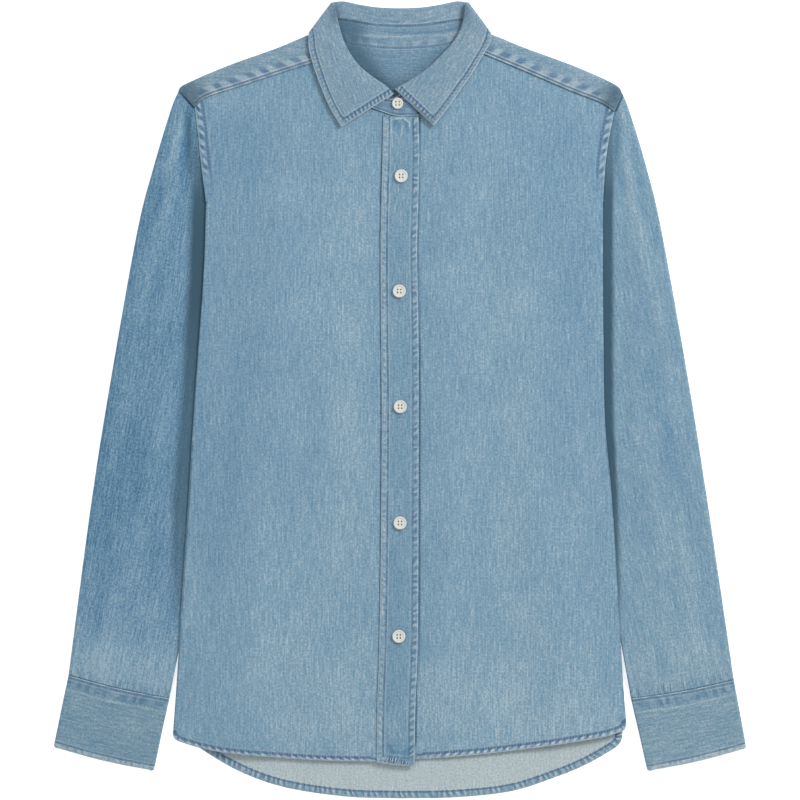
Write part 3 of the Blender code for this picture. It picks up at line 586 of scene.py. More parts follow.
        # the puckers and stitches fade in and out over stretches of 9 mm
        patches = add_node(tree, "TexNoise", {"noise_dimensions": "2D", "Scale": 1.0 / 9.0, "Detail": 1.0},
                           Vector=seam)
        patchy, broken = (
            add_node(tree, "MapRange", {1: low, 2: high, 3: least, 4: 1.0}, Value=patches)
            for low, high, least in ((0.36, 0.56, self.evenness), (0.40, 0.52, self.stitch_even))
        )
        ridge, near, far = (
            add_node(tree, "MapRange", {"interpolation_type": "SMOOTHSTEP", 1: low, 2: high}, Value=value)
            for value, low, high in (
                (wave.outputs["Fac"], 0.15, 0.85), (share, 0.04, 0.35), (share, 1.0, 0.6))
        )
        pull = near
        for share_ in (far, pucker, patchy):
            pull = add_node(tree, "Math", {"operation": "MULTIPLY"}, i0=pull, i1=share_)
        risen = add_node(tree, "Math", {"operation": "MULTIPLY"}, i0=pull, i1=ridge)
        sunk = add_node(tree, "Math", {"operation": "SUBTRACT"}, i0=pull, i1=risen)
        blue = add_node(tree, "Math", {"operation": "MULTIPLY", 1: self.pucker_strength}, i0=sunk)
        white = add_node(tree, "Math", {"operation": "MULTIPLY", 1: self.rubbed}, i0=ridge)
        for share_ in (far, pucker, patchy, worn):
            white = add_node(tree, "Math", {"operation": "MULTIPLY"}, i0=white, i1=share_)
        # stitch line; on the fronts the same line paints the shadow beside the placket's edges
        stitch = self._line(tree, distance, allowance, self.stitch_width, self.stitch_tone)
        beat = add_node(tree, "Math", {"operation": "SINE"}, i0=add_node(
            tree, "Math", {"operation": "MULTIPLY", 1: 2 * math.pi / STITCH}, i0=way).outputs[0])
        beat = add_node(tree, "MapRange", {1: -1.0, 2: 0.6, 3: 0.6, 4: 1.0}, Value=beat)
        stitch = add_node(tree, "Math", {"operation": "MULTIPLY"}, i0=stitch, i1=beat)
        sewn = add_node(tree, "Attribute", {"attribute_name": "stitched"}).outputs["Fac"]
        for share_ in (sewn, broken):
            stitch = add_node(tree, "Math", {"operation": "MULTIPLY"}, i0=stitch, i1=share_)
        past = add_node(tree, "Math", {"operation": "ADD", 1: 1.6}, i0=allowance)
        crest = self._line(tree, distance, past.outputs[0], 0.5, 0.3 * self.wear)
        crest = add_node(tree, "Math", {"operation": "MULTIPLY"}, i0=crest, i1=sewn).outputs[0]
        edge = self._line(tree, distance, 0.0, self.edge_width, self.wear)
        rub = add_node(tree, "Math", {"operation": "MULTIPLY_ADD"}, i0=edge, i1=patchy, i2=crest)
        rub = add_node(tree, "Math", {"operation": "MULTIPLY"}, i0=rub, i1=worn)
        for amount, shade in ((blue, self.deep), (white, self.pale), (stitch, self.deep), (rub, self.pale)):
            colour = add_node(tree, "Mix", {"data_type": "RGBA", 7: linear(shade)}, i0=amount, i6=colour).outputs[2]
        height = add_node(tree, "Math", {"operation": "SUBTRACT"}, i0=risen, i1=stitch)
        return colour, height.outputs[0]

    def _turned_in(self, tree: Tree, seam: Socket, colour: Socket, yarn: Socket, grain: Socket) -> Socket:
        """The pale weft side inside the garment, up to the turned-up hem, which shows the face again."""
        _, distance, allowance = add_node(tree, "SeparateXYZ", {}, Vector=seam).outputs
        # weft crossings of 0.5 mm, drawn at 1.7 mm so that they show
        speck = add_node(tree, "TexNoise", {"noise_dimensions": "2D", "Scale": 1.0 / 1.7, "Detail": 3.0},
                         Vector=grain)
        soft = add_node(tree, "Math", {"operation": "MULTIPLY_ADD", 1: 0.3}, i0=yarn, i2=speck)
        share = add_node(tree, "MapRange", {1: 0.3, 2: 1.0}, Value=soft)
        weft = add_node(tree, "Mix", {"data_type": "RGBA", 6: linear(self.inside), 7: linear(self.weft)}, i0=share)
        up = add_node(tree, "NewGeometry")
        facing = add_node(tree, "SeparateXYZ", {}, Vector=up.outputs["Normal"])
        above = add_node(tree, "MapRange", {1: -0.1, 2: 0.1}, Value=facing.outputs["Z"])
        over_hem = add_node(tree, "Math", {"operation": "SUBTRACT"}, i0=distance, i1=allowance)
        past = add_node(tree, "MapRange", {1: 0.9, 2: 1.7}, Value=over_hem)
        amount = add_node(tree, "Math", {"operation": "MULTIPLY"}, i0=above, i1=past)
        return add_node(tree, "Mix", {"data_type": "RGBA"}, i0=amount, i6=colour, i7=weft.outputs[2]).outputs[2]


@dataclass(frozen=True)
class Thread:
    """Spun polyester core thread, washed with the cloth: a soft, slightly shiny strand."""

    name: str
    colour: str
    light: str

    def material(self) -> bpy.types.Material:
        """Builds the material, with a fine twist along each stitch."""
        material, tree, shader = new_material(self.name, {"Roughness": 0.6, "Sheen Weight": 0.1})
        place = add_node(tree, "TexCoord")
        # twist of 0.4 mm, drawn at 1.1 mm so that it shows
        noise = add_node(tree, "TexNoise", {"Scale": 900.0, "Detail": 1.0}, Vector=place.outputs["Object"])
        tone = add_node(tree, "Mix", {"data_type": "RGBA", 6: linear(self.colour), 7: linear(self.light)}, i0=noise)
        tree.links.new(tone.outputs[2], shader.inputs["Base Color"])
        return material


@dataclass(frozen=True)
class ButtonPlastic:
    """Moulded polyester resin with a pearly, off-white body: smooth, glossy, a little translucent."""

    name: str = "button_resin"
    colour: str = "#E2E2DC"
    shade: str = "#CFCFC8"

    def material(self) -> bpy.types.Material:
        """Builds the material, with faint swirls of the poured resin."""
        material, tree, shader = new_material(self.name, {"Roughness": 0.3, "IOR": 1.55, "Coat Weight": 0.15})
        place = add_node(tree, "TexCoord")
        # swirls about 4 mm wide, a third of a button
        swirl = add_node(tree, "TexNoise", {"Scale": 260.0, "Detail": 2.0, "Distortion": 1.2},
                         Vector=place.outputs["Object"])
        tone = add_node(tree, "Mix", {"data_type": "RGBA", 6: linear(self.shade), 7: linear(self.colour)}, i0=swirl)
        tree.links.new(tone.outputs[2], shader.inputs["Base Color"])
        return material


@dataclass(frozen=True)
class PaleFloor:
    """Matt white painted board."""

    name: str = "floor_board"
    colour: str = "#FAFAFA"

    def material(self) -> bpy.types.Material:
        """Builds the material."""
        return new_material(self.name, {
            "Base Color": linear(self.colour), "Roughness": 0.95, "Emission Color": (1.0, 1.0, 1.0, 1.0),
            "Emission Strength": 0.55,
        })[0]


# ------------------------------------------------------------------------------------------ cloth meshes
def add_object(name: str, data: bpy.types.ID) -> bpy.types.Object:
    """A new object at the origin, linked to the scene."""
    made = bpy.data.objects.new(name, data)
    bpy.context.collection.objects.link(made)
    return made


@dataclass(frozen=True)
class SeamLine:
    """An edge of a piece that is stitched, with its distances in millimetres and its strengths from 0 to 1."""

    curve: Curve
    allowance: float = 5.4
    reach: float = 7.2
    pucker: float = 1.0
    worn: float = 1.0
    stitched: float = 1.0
    pace: float = 1.0  # below 1, its puckers are wider


def seam_field(plan: Plan, seams: Sequence[SeamLine], reach: float = NO_SEAM) -> tuple[np.ndarray, np.ndarray]:
    """Values of the nearest seam at each plan point.

    Args:
        plan: plan points.
        seams: the seams of the piece.
        reach: distance that stands for no seam near.

    Returns:
        Way, distance and allowance; and pucker strength, wear, a zero for painted shade, how far its stitches show,
        and reach of the puckers.
    """
    flat = plan.reshape(-1, 2)
    best, second = np.zeros((len(flat), 8)), np.full(len(flat), reach)
    best[:, 1], best[:, 2], best[:, 7] = reach, SeamLine.allowance, SeamLine.reach
    offset = 0.0
    end = None
    for seam in seams:
        joined = end is not None and np.linalg.norm(seam.curve.points[0] - end) < 1.0
        offset += 0.0 if joined or end is None else SEAM_GAP
        end = seam.curve.points[-1]
        a, b = seam.curve.points[:-1], seam.curve.points[1:]
        ab = b - a
        size = np.maximum((ab**2).sum(axis=1), 1e-12)
        for start in range(0, len(flat), BATCH):
            p = flat[start : start + BATCH]
            t = np.clip(((p[:, None] - a) * ab).sum(axis=2) / size, 0.0, 1.0)
            gap = np.linalg.norm(p[:, None] - (a + ab * t[..., None]), axis=2)
            k = gap.argmin(axis=1)
            rows = np.arange(len(p))
            near = gap[rows, k]
            way = (seam.curve.run[k] + t[rows, k] * np.sqrt(size[k])) * seam.pace + offset
            block, other = best[start : start + BATCH], second[start : start + BATCH]
            closer = near < block[:, 1]
            other[:] = np.where(closer, block[:, 1], np.minimum(other, near))
            marks = np.tile((seam.allowance, seam.pucker, seam.worn, 0.0, seam.stitched, seam.reach), (len(p), 1))
            values = np.column_stack([way, near, marks])
            block[closer] = values[closer]
        offset += seam.curve.length * seam.pace
    best[:, 3] *= ramp(2.0, 6.0, second - best[:, 1])
    shape = plan.shape[:-1]
    return best[:, :3].reshape(*shape, 3), best[:, 3:].reshape(*shape, 5)


@dataclass
class ClothPiece:
    """One cut piece as a dense wall over rows of points."""

    name: str
    points: np.ndarray
    grain: np.ndarray
    seam: np.ndarray
    trim: np.ndarray
    finish: Denim
    wall: float = WALL
    ring: bool = False
    skip: Optional[Callable[[np.ndarray, np.ndarray], np.ndarray]] = None

    def build(self) -> bpy.types.Object:
        """Makes the object, with its wall as a Solidify modifier."""
        rows, columns = self.points.shape[:2]
        shape = bmesh.new()
        bmesh.ops.create_grid(shape, x_segments=columns - 1, y_segments=rows - 1, size=0.5)
        mesh = bpy.data.meshes.new(self.name)
        shape.to_mesh(mesh)
        shape.free()
        mesh.vertices.foreach_set("co", (self.points[::-1] * MM).astype(np.float32).ravel())
        for label, values in (("grain", self.grain), ("seam", self.seam), ("trim", self.trim[..., :3])):
            layer_ = mesh.attributes.new(label, "FLOAT_VECTOR", "POINT")
            layer_.data.foreach_set("vector", values[::-1].astype(np.float32).ravel())
        for label, column in (("stitched", 3), ("reach", 4)):
            single = mesh.attributes.new(label, "FLOAT", "POINT")
            single.data.foreach_set("value", self.trim[::-1, :, column].astype(np.float32).ravel())
        shape = bmesh.new()
        shape.from_mesh(mesh)
        if self.skip is not None:
            number = np.arange((rows - 1) * (columns - 1))
            i = rows - 2 - number // (columns - 1)
            j = number % (columns - 1)
            shape.faces.ensure_lookup_table()
            unwanted = [shape.faces[k] for k in np.nonzero(self.skip(i, j))[0]]
            bmesh.ops.delete(shape, geom=unwanted, context="FACES")
        if self.ring:
            bmesh.ops.remove_doubles(shape, verts=shape.verts, dist=0.01 * MM)
        shape.to_mesh(mesh)
        shape.free()
        mesh.materials.append(self.finish.material())
        mesh.shade_smooth()
        made = add_object(self.name, mesh)
        solidify = made.modifiers.new("Wall", "SOLIDIFY")
        solidify.thickness = self.wall * MM
        solidify.offset = 0.0
        solidify.use_even_offset = False
        return made


def grain_of(plan: Plan, heading: float = 90.0, shift: float = 0.0, wash_and_shade: Numbers = 0.0) -> np.ndarray:
    """Place in the cloth and how far its tone differs, by wash and, on some pieces, by painted shade and highlight.

    Args:
        plan: plan points, unfolded where the cloth is folded.
        heading: direction of the warp in degrees from +X.
        shift: way into the cloth, so that no two pieces share a pattern.
        wash_and_shade: lighter where positive, darker where negative.
    """
    c, s = math.cos(math.radians(heading)), math.sin(math.radians(heading))
    along = plan[..., 0] * c + plan[..., 1] * s
    across = plan[..., 0] * s - plan[..., 1] * c
    return np.stack([across + shift, along, np.broadcast_to(wash_and_shade, along.shape)], axis=-1)


FACE = Denim("denim_face", light="#A6BAC5", middle="#7C9BAF", pucker_pitch=5.6, pucker_slant=36.0, rubbed=0.95,
             stitch_width=1.1, stitch_tone=0.85, edge_width=0.9, pale="#C0CDD5")
GREYER = {"light": "#A8B6BD", "middle": "#7F98A9", "dark": "#5E819A"}


@dataclass
class Body:
    """Fronts, back, yoke and placket."""

    creases: Creases = crease_table(
        # x, y, length, width, rise, heading
        (-120.0, 40.0, 260.0, 26.0, 0.7, 84.0),
        (-62.0, -120.0, 240.0, 20.0, -0.5, 95.0),
        (120.0, -30.0, 280.0, 24.0, 0.6, 97.0),
        (70.0, 140.0, 150.0, 18.0, -0.45, 80.0),
        (-150.0, -210.0, 160.0, 16.0, 0.5, 78.0),
        (150.0, -230.0, 140.0, 14.0, 0.5, 102.0),
        (-110.0, 215.0, 110.0, 16.0, 0.4, 60.0),
        (112.0, 205.0, 110.0, 15.0, 0.4, 118.0),
    )
    fades: Creases = crease_table(
        # x, y, length, width, how much lighter, heading
        (-186.0, 30.0, 330.0, 14.0, -0.05, 92.0),
        (-156.0, 225.0, 80.0, 34.0, -0.06, 90.0),
        (-145.0, -10.0, 330.0, 28.0, -0.05, 86.0),
        (-50.0, 75.0, 330.0, 24.0, 0.05, 90.0),
        (152.0, 75.0, 330.0, 34.0, -0.05, 92.0),
        (-60.0, -292.0, 150.0, 50.0, 0.07, 0.0),
        (-45.0, -150.0, 300.0, 22.0, 0.05, 92.0),
        (-110.0, -200.0, 200.0, 40.0, 0.04, 92.0),
        (110.0, -290.0, 210.0, 50.0, 0.09, 0.0),
        (110.0, -60.0, 420.0, 60.0, 0.05, 90.0),
        (60.0, 150.0, 160.0, 24.0, 0.02, 94.0),
    )
    # painted shade at the yoke's tips by the armholes
    tip_shades: Creases = crease_table(
        # x, y, length, width, share of painted shade, heading
        (-190.0, 279.0, 38.0, 11.0, 0.68, 132.0),
        (195.0, 277.0, 38.0, 12.0, 0.75, 66.0),
    )
    # painted shadow on the inner yoke along the inner edges of the collar's leaves
    neck_shades: Creases = crease_table(
        # x, y, length, width, share of painted shade, heading
        (-30.0, 307.0, 92.0, 10.0, 0.75, -47.5),
        (22.0, 308.0, 86.0, 5.0, 0.28, 39.0),
    )
    yoke_folds: Creases = crease_table(
        # x, y, length, width, rise, heading
        (-104.0, 314.0, 26.0, 3.0, 0.7, 62.0),
        (-124.0, 305.0, 24.0, 3.2, 0.6, 70.0),
        (-141.0, 300.0, 22.0, 2.8, 0.6, 58.0),
        (-158.0, 294.0, 22.0, 3.0, 0.5, 66.0),
        (-176.0, 287.0, 20.0, 2.8, 0.5, 60.0),
        (104.0, 314.0, 28.0, 3.2, 0.7, 118.0),
        (121.0, 306.0, 26.0, 2.8, 0.7, 128.0),
        (140.0, 298.0, 24.0, 3.2, 0.6, 116.0),
        (160.0, 291.0, 24.0, 3.0, 0.6, 124.0),
        (180.0, 282.0, 22.0, 2.8, 0.5, 120.0),
    )
    band_folds: Creases = crease_table(
        # x, y, length, width, rise, heading
        (-2.0, 258.6, 9.0, 0.8, 0.9, 6.0),
        (5.4, 257.2, 8.0, 0.9, 1.0, -38.0),
        (8.6, 252.2, 7.0, 0.8, 0.7, 94.0),
        (-5.0, 254.0, 7.0, 1.8, -0.8, 58.0),
        (-1.6, 250.4, 9.0, 1.3, -0.4, 70.0),
        (4.6, 253.0, 8.0, 1.6, -0.45, 110.0),
        (1.2, 246.0, 16.0, 1.1, 0.4, 76.0),
        (11.4, 249.0, 20.0, 1.3, -0.45, 92.0),
        (-10.0, 244.0, 22.0, 2.0, 0.4, 84.0),
        (-9.0, -322.0, 12.0, 2.6, -0.7, 122.0),
        (8.0, -323.0, 12.0, 2.8, -0.7, 42.0),
        (-1.0, -325.0, 20.0, 1.8, -0.4, 0.0),
        (-2.0, -303.0, 18.0, 0.7, 0.4, 112.0),
    )
    hem_stitch: ClassVar[dict[int, float]] = {-1: 3.7, 1: 4.8}  # from each front's hem to its stitches

    def front_layer(self, x: np.ndarray, y: np.ndarray, side: int) -> np.ndarray:
        """Layer of a front at each plan point."""
        middle = 3.0 if side < 0 else mix(2.0, 3.0, ramp(20.0, 44.0, x))
        return mix(middle, 5.0, margin_share(x, y, side))

    def armhole(self, side: int) -> tuple[Curve, Plan]:
        """The visible armhole, and the points of the armhole on the folded margin."""
        fold_x = float(side_fold_x(FOLD_TOP_Y, side))
        hidden = np.array([(fold_x - side * inward, y) for inward, y in MARGIN_ARMHOLE])
        return Curve(ARMHOLES[side]), hidden

    def front(self, side: Side) -> ClothPiece:
        """One front with its side margin folded under."""
        sign = side.value
        armhole, hidden = self.armhole(sign)
        neck = Curve(NECKS[sign])
        seam = Curve(YOKE_SEAMS[sign])
        across_neck = np.linspace(0.0, 1.0, 26)
        across_seam = uneven(seam.length, 1.4, 2.8, 8.0, both=False)
        under_stand = np.stack([0.0 * across_neck, 1.4 * ramp(1.0, 0.8, across_neck)], axis=1)
        top = np.vstack([neck.at(across_neck) + under_stand, seam.at(across_seam)[1:] - (0.0, 0.3)])
        across = shares_along(top)
        hem = Curve(FRONT_HEMS[sign])
        side_points = [(float(side_fold_x(y, sign)), y) for y, _, _ in SIDE_FOLDS]
        side_points[-1] = FRONT_HEMS[sign][-1]
        side_curve = Curve(side_points)
        upper = uneven(armhole.length, 1.8, 2.2, 10.0)
        lower = uneven(side_curve.length, 1.3, 4.2, 12.0, both=False)
        reach = np.array((sign * 1.3, 0.0))
        outer = np.vstack([armhole.at(upper)[:-1] - reach * 0.1, side_curve.at(lower) - reach])
        down = shares_along(outer)
        top[-1] = outer[0]
        bottom = hem.at(across)
        bottom[-1] = outer[-1]
        if sign < 0:
            edge = Curve([(free - 2.0, y) for y, _, free in PLACKET])
        else:
            edge = Curve([(-14.0, 260.6), (-14.0, -333.0)])
        inner = edge.at(down)
        inner[0], inner[-1] = top[0], bottom[0]
        plan = span_edges(top, bottom, inner, outer, across, down)
        x, y = xy(plan)
        z = layer(self.front_layer(x, y, sign)) + relief(self.creases, x, y) * ramp(20.0, 45.0, np.abs(x))
        first = len(upper) - 1
        main = plan.shape[1]
        margin = self._margin(plan, z, sign, first, hidden, layer(4.0), layer(3.0), 0.0)
        points = np.concatenate([over(plan, z), margin], axis=1)
        flat_plan = points[..., :2].copy()
        flat_plan[:, main:, 0] = 2 * plan[:, -1:, 0] - flat_plan[:, main:, 0]
        band = Curve([(p[1] if sign < 0 else p[2], p[0]) for p in PLACKET])
        seams = (
            SeamLine(armhole, allowance=7.6, reach=7.6, pucker=1.4, worn=0.36, stitched=0.8, pace=0.8),
            # painted shadow line 0.5 mm beside the placket's edge, drawn like a stitch line
            SeamLine(band, allowance=0.5, pucker=0.0, worn=0.0, stitched=1.0),
            SeamLine(hem, allowance=self.hem_stitch[sign], reach=self.hem_stitch[sign] + 1.6),
        )
        seam_, trim = seam_field(flat_plan, seams)
        x, y = xy(flat_plan)
        fade = np.where(np.abs(x) < 90.0, 1.0, np.maximum(ramp(FOLD_TOP_Y, 224.0, y), ramp(0.0, -10.0, y)))
        trim[..., [0, 1, 3]] *= fade[..., None]
        # the painted shadow line beside the placket fades out just above the hem
        near_painted_placket_shadow = seam_[..., 2] < 1.0
        trim[..., 3] *= np.where(near_painted_placket_shadow, ramp(-322.0, -312.0, y), 1.0)
        wash_and_shade = relief(self.fades, x, y)
        grain = grain_of(flat_plan, shift=300.0 * sign, wash_and_shade=wash_and_shade)
        name = "front_right_shell" if sign < 0 else "front_left_shell"
        tuck = main - 1
        taper = tuck + ARC_STEPS
        if sign > 0:
            points, seam_, trim, grain = (block[:, ::-1] for block in (points, seam_, trim, grain))
            last = points.shape[1] - 2
            return ClothPiece(name, points, grain, seam_, trim, FACE,
                              skip=lambda i, j: (i < first - (last - j < taper)) & (last - j >= tuck))
        return ClothPiece(name, points, grain, seam_, trim, FACE,
                          skip=lambda i, j: (i < first - (j < taper)) & (j >= tuck))

    def _margin(
        self, plan: Plan, z: np.ndarray, side: int, first: int, hidden: Plan, margin_z: float, seam_z: float,
        inset: float,
    ) -> np.ndarray:
        """Fold and folded-in margin for each row, repeating the edge above row first."""
        rows = len(plan)
        outward = np.tile(np.array([[float(side), 0.0]]), (rows, 1))
        low = np.full(rows, margin_z)
        arc = fold(plan[:, -1], outward, z[:, -1], low)[:, 1:]
        share = np.clip((np.arange(rows) - first) / (rows - 1 - first), 0.0, 1.0)
        fold_x = float(side_fold_x(FOLD_TOP_Y, side))
        starts = np.vstack([hidden, hidden[-1] - (side * 6.0, 0.0)])
        fine = Curve([(0.0, FOLD_TOP_Y)] + [(abs(p[0] - fold_x), p[1]) for p in starts], smooth=False)
        inward, start_y = fine.at(np.linspace(0.0, 1.0, 12)[1:]).T
        hem_y = plan[-1, -1, 1] + MARGIN_HEM_RISE * inward / MARGIN_DEPTH
        y = mix(start_y[None], hem_y[None], share[:, None])
        x = side_fold_x(y, side) - side * (inward[None] + inset)
        height = mix(margin_z, seam_z, ramp(MARGIN_DEPTH - 6.0, MARGIN_DEPTH, inward))[None] + np.zeros_like(y)
        tail = np.stack([x, y, height], axis=-1)
        made = np.concatenate([arc, tail], axis=1)
        edge = over(plan[:, -1], z[:, -1])
        made[:first] = edge[:first, None]
        made[first - 1, :ARC_STEPS] = edge[first - 1] + 0.1 * (arc[first] - edge[first])
        return made

    def back(self) -> ClothPiece:
        """Back panel with the pale inner side up and both margins folded in over it."""
        halves = []
        first = BACK_ROWS
        for sign in (-1, 1):
            _, hidden = self.armhole(sign)
            fold_x = float(side_fold_x(FOLD_TOP_Y, sign))
            sunk = sign * BACK_TUCK
            start = (sign * (184.6 if sign < 0 else 190.2), YOKE_BACK_Y - 0.3)
            upper = Curve([start, (sign * (182.0 if sign < 0 else 188.0), 205.0), (fold_x - sunk, FOLD_TOP_Y)])
            folds = [(float(side_fold_x(y, sign)) - sunk, y) for y, _, _ in SIDE_FOLDS[:-1]]
            corner = BACK_HEM[0] if sign < 0 else BACK_HEM[-1]
            folds.append((corner[0] - sign * WALL, corner[1]))
            lower = Curve(folds)
            down_lower = uneven(lower.length, 1.3, 5.0, 16.0, both=False)
            outer = np.vstack([upper.at(np.linspace(0, 1, first + 1))[:-1], lower.at(down_lower)])
            half_hem = [p for p in BACK_HEM if p[0] * sign >= 0.0]
            if sign < 0:
                half_hem.reverse()
            half_hem[-1] = folds[-1]
            hem = Curve(half_hem)
            top = Curve([(0.0, YOKE_BACK_Y + 2.7), (sign * 90.0, YOKE_BACK_Y + 1.7), start])
            across = uneven(top.length, 2.6, 3.2, 10.0, both=False)
            down = shares_along(outer)
            top_points, hem_points = top.at(across), hem.at(across)
            middle = Curve([top_points[0], hem_points[0]]).at(down)
            plan = span_edges(top_points, hem_points, middle, outer, across, down)
            z = np.full(plan.shape[:2], layer(0.0))
            margin = self._margin(plan, z, sign, first, hidden, layer(1.0), layer(2.0), 2.0)
            points = np.concatenate([over(plan, z), margin], axis=1)
            flat_plan = points[..., :2].copy()
            flat_plan[:, plan.shape[1] :, 0] = 2 * plan[:, -1:, 0] - flat_plan[:, plan.shape[1] :, 0]
            seam_, trim = seam_field(flat_plan, [SeamLine(hem, allowance=BACK_STITCH, reach=9.0)])
            if sign > 0:
                seam_[..., 0] *= -1.0
            halves.append((points, grain_of(flat_plan, shift=900.0), seam_, trim, plan.shape[1]))
        joined = [np.concatenate([halves[0][k][:, ::-1][:, :-1], halves[1][k]], axis=1) for k in range(4)]
        width = joined[0].shape[1] - 1
        right_tuck = halves[0][0].shape[1] - halves[0][4]
        left_tuck = halves[1][0].shape[1] - halves[1][4]
        finish = Denim("denim_back", pucker_pitch=5.4, pucker_slant=16.0, pucker_uneven=5.0, pucker_strength=0.4,
                       rubbed=0.6, stitch_width=0.55, evenness=0.25, inside="#98A8AE", contrast=1.25)
        return ClothPiece(
            "back_shell", *joined, finish,
            skip=lambda i, j: (i < first) & ((j < right_tuck) | (j >= width - left_tuck)),
        )

    def _yoke_edges(self, count: int, neck_count: int) -> tuple[Plan, Plan, int]:
        """Front edge and top edge of the yoke from right to left, and how many columns a shoulder has."""
        shares = np.linspace(0.0, 1.0, count)
        front, top = [], []
        for sign in (-1, 1):
            seam, ridge = Curve(YOKE_SEAMS[sign]).at(shares), Curve(SHOULDERS[sign]).at(shares)
            front.append(seam[::-1] if sign < 0 else seam)
            top.append(ridge[::-1] if sign < 0 else ridge)
        back_of_neck = Curve([(-72.0, 335.4), (-60.0, 330.0), (0.0, 322.0), (60.0, 330.0), (72.0, 335.4)])
        neck = back_of_neck.at(np.linspace(0.0, 1.0, neck_count + 2))[1:-1]
        return np.vstack([front[0], neck, front[1]]), np.vstack([top[0], neck, top[1]]), count

    def armhole_x(self, y: float, side: int) -> float:
        """x of the armhole at this y, from the shoulder fold to the yoke's back seam."""
        points = np.vstack([[SHOULDERS[side][-1]], Curve(ARMHOLES[side]).points])
        return float(np.interp(y, points[::-1, 1], points[::-1, 0]))

    def yoke(self) -> ClothPiece:
        """Yoke that wraps over both shoulders."""
        front_edge, top_edge, shoulder = self._yoke_edges(60, 40)
        count = len(top_edge)
        ends = [(self.armhole_x(YOKE_BACK_Y, sign), YOKE_BACK_Y) for sign in (-1, 1)]
        back_seam = [(-90.0, YOKE_BACK_Y + 2.0), (0.0, YOKE_BACK_Y + 3.0), (90.0, YOKE_BACK_Y + 2.0)]
        back_edge = Curve([ends[0], *back_seam, ends[1]]).at(np.linspace(0.0, 1.0, count))
        j = np.arange(count)
        on_shoulder = (j < shoulder) | (j >= count - shoulder)
        side = np.where(j < shoulder, -1, 1)
        high = np.full(count, layer(3.0))
        down = unit(np.where(on_shoulder[:, None], front_edge - top_edge, (0.0, -1.0)))
        low = layer(collar_lift(top_edge[:, 0], top_edge[:, 1]))
        radius = (high - low) / 2
        edge = np.where(on_shoulder[:, None], top_edge + down * (radius + WALL / 2)[:, None], top_edge)
        flap, behind = 14, 16  # rows in front of the shoulder fold and behind it
        columns = np.zeros((flap + ARC_STEPS + 1 + behind, count, 3))
        flat = np.zeros((columns.shape[0], count, 2))
        for k in range(flap):
            plan = mix(front_edge + np.where(on_shoulder[:, None], down, 0.0) * 0.9, edge, k / flap)
            bumps = relief(self.yoke_folds, plan[:, 0], plan[:, 1]) * math.sin(math.pi * (k + 0.6) / (flap + 0.6))
            columns[k] = over(plan, high + bumps + 1.05 * (1.0 - 0.8 * k / flap))
            flat[k] = plan
        arc = fold(edge, -down, high, low)
        for k in range(ARC_STEPS + 1):
            columns[flap + k] = arc[:, k]
            flat[flap + k] = edge - down * (radius * math.pi * k / ARC_STEPS)[:, None]
        columns[: flap + ARC_STEPS + 1, ~on_shoulder] = over(top_edge, low)[~on_shoulder]
        for k in range(1, behind + 1):
            plan = mix(edge, back_edge, k / behind)
            for end in (0, count - 1):
                y = mix(front_edge[end, 1], back_edge[end, 1], max(k - 3, 0) / (behind - 3))
                y = min(y, edge[end, 1] - k * 2.0)
                plan[end] = (self.armhole_x(float(y), int(side[end])) - side[end] * 0.9, y)
            columns[flap + ARC_STEPS + k] = over(plan, layer(collar_lift(plan[:, 0], plan[:, 1])))
            flat[flap + ARC_STEPS + k] = 2 * edge - plan
        top_rows = flap + ARC_STEPS
        seams = []
        for sign in (-1, 1):
            seams.append(SeamLine(Curve(YOKE_SEAMS[sign]), allowance=1.6, reach=11.0, pucker=0.8, stitched=1.0))
            seams.append(SeamLine(Curve([ARMHOLES[sign][0], SHOULDERS[sign][-1]]), 1.6, 8.0, 0.6, 0.15, 0.3))
        seam_, trim = seam_field(flat, seams)
        seam_[top_rows + 1 :, :, 1] = NO_SEAM
        # painted shade at the yoke's tips
        trim[..., 2] = relief(self.tip_shades, *xy(flat))
        grain = grain_of(flat, heading=0.0, shift=1500.0)
        finish = Denim("denim_yoke", **GREYER, pucker_pitch=12.5, pucker_slant=34.0, pucker_uneven=2.2,
                       pucker_strength=0.7, rubbed=0.3, wear=0.95, edge_width=0.36, stitch_width=0.5,
                       evenness=0.7, pale="#D3DCE0")
        return ClothPiece(
            "yoke_shell", columns, grain, seam_, trim, finish,
            skip=lambda i, j: (i < top_rows) & (j >= shoulder - 1) & (j < count - shoulder),
        )

    def yoke_inner(self) -> ClothPiece:
        """Inner layer of the yoke, seen inside the neck."""
        _, top_edge, shoulder = self._yoke_edges(24, 40)
        count = len(top_edge)
        j = np.arange(count)
        drop = np.where((j < shoulder) | (j >= count - shoulder), 4.6, 0.3)
        top = top_edge - np.stack([np.zeros(count), drop], axis=1)
        top[0, 0] += 3.0
        top[-1, 0] -= 3.0
        across = np.linspace(0.0, 1.0, count)
        bottom = Curve([(-183.0, YOKE_BACK_Y + 1.0), (0.0, YOKE_BACK_Y + 4.0), (183.0, YOKE_BACK_Y + 1.0)]).at(across)
        down = np.linspace(0.0, 1.0, 36)
        first, last = Curve([top[0], bottom[0]]).at(down), Curve([top[-1], bottom[-1]]).at(down)
        plan = span_edges(top, bottom, first, last, across, down)
        x, y = xy(plan)
        soft = crease_table((-18.0, 300.0, 70.0, 9.0, 0.35, 12.0), (20.0, 296.0, 60.0, 8.0, 0.3, -10.0))
        z = layer(1.0 + collar_lift(x, y)) + relief(soft, x, y)
        neck = Curve([(-60.0, 330.0), (0.0, 322.0), (60.0, 330.0)])
        finish = Denim("denim_inner_yoke", **GREYER, wear=0.3, pucker_strength=0.3)
        # darker all over, with painted shadow growing towards the right leaf at -X
        wash_and_shade = -0.08 - 0.12 * ramp(-15.0, -60.0, x)
        seam_, trim = seam_field(plan, [SeamLine(neck, 2.0, 6.0, 0.3, 1.0, 0.0)])
        # painted shadow along the inner edges of the leaves
        trim[..., 2] = relief(self.neck_shades, x, y)
        return ClothPiece("yoke_inner_shell", over(plan, z), grain_of(plan, heading=0.0, shift=2100.0, wash_and_shade=wash_and_shade),
                          seam_, trim, finish)

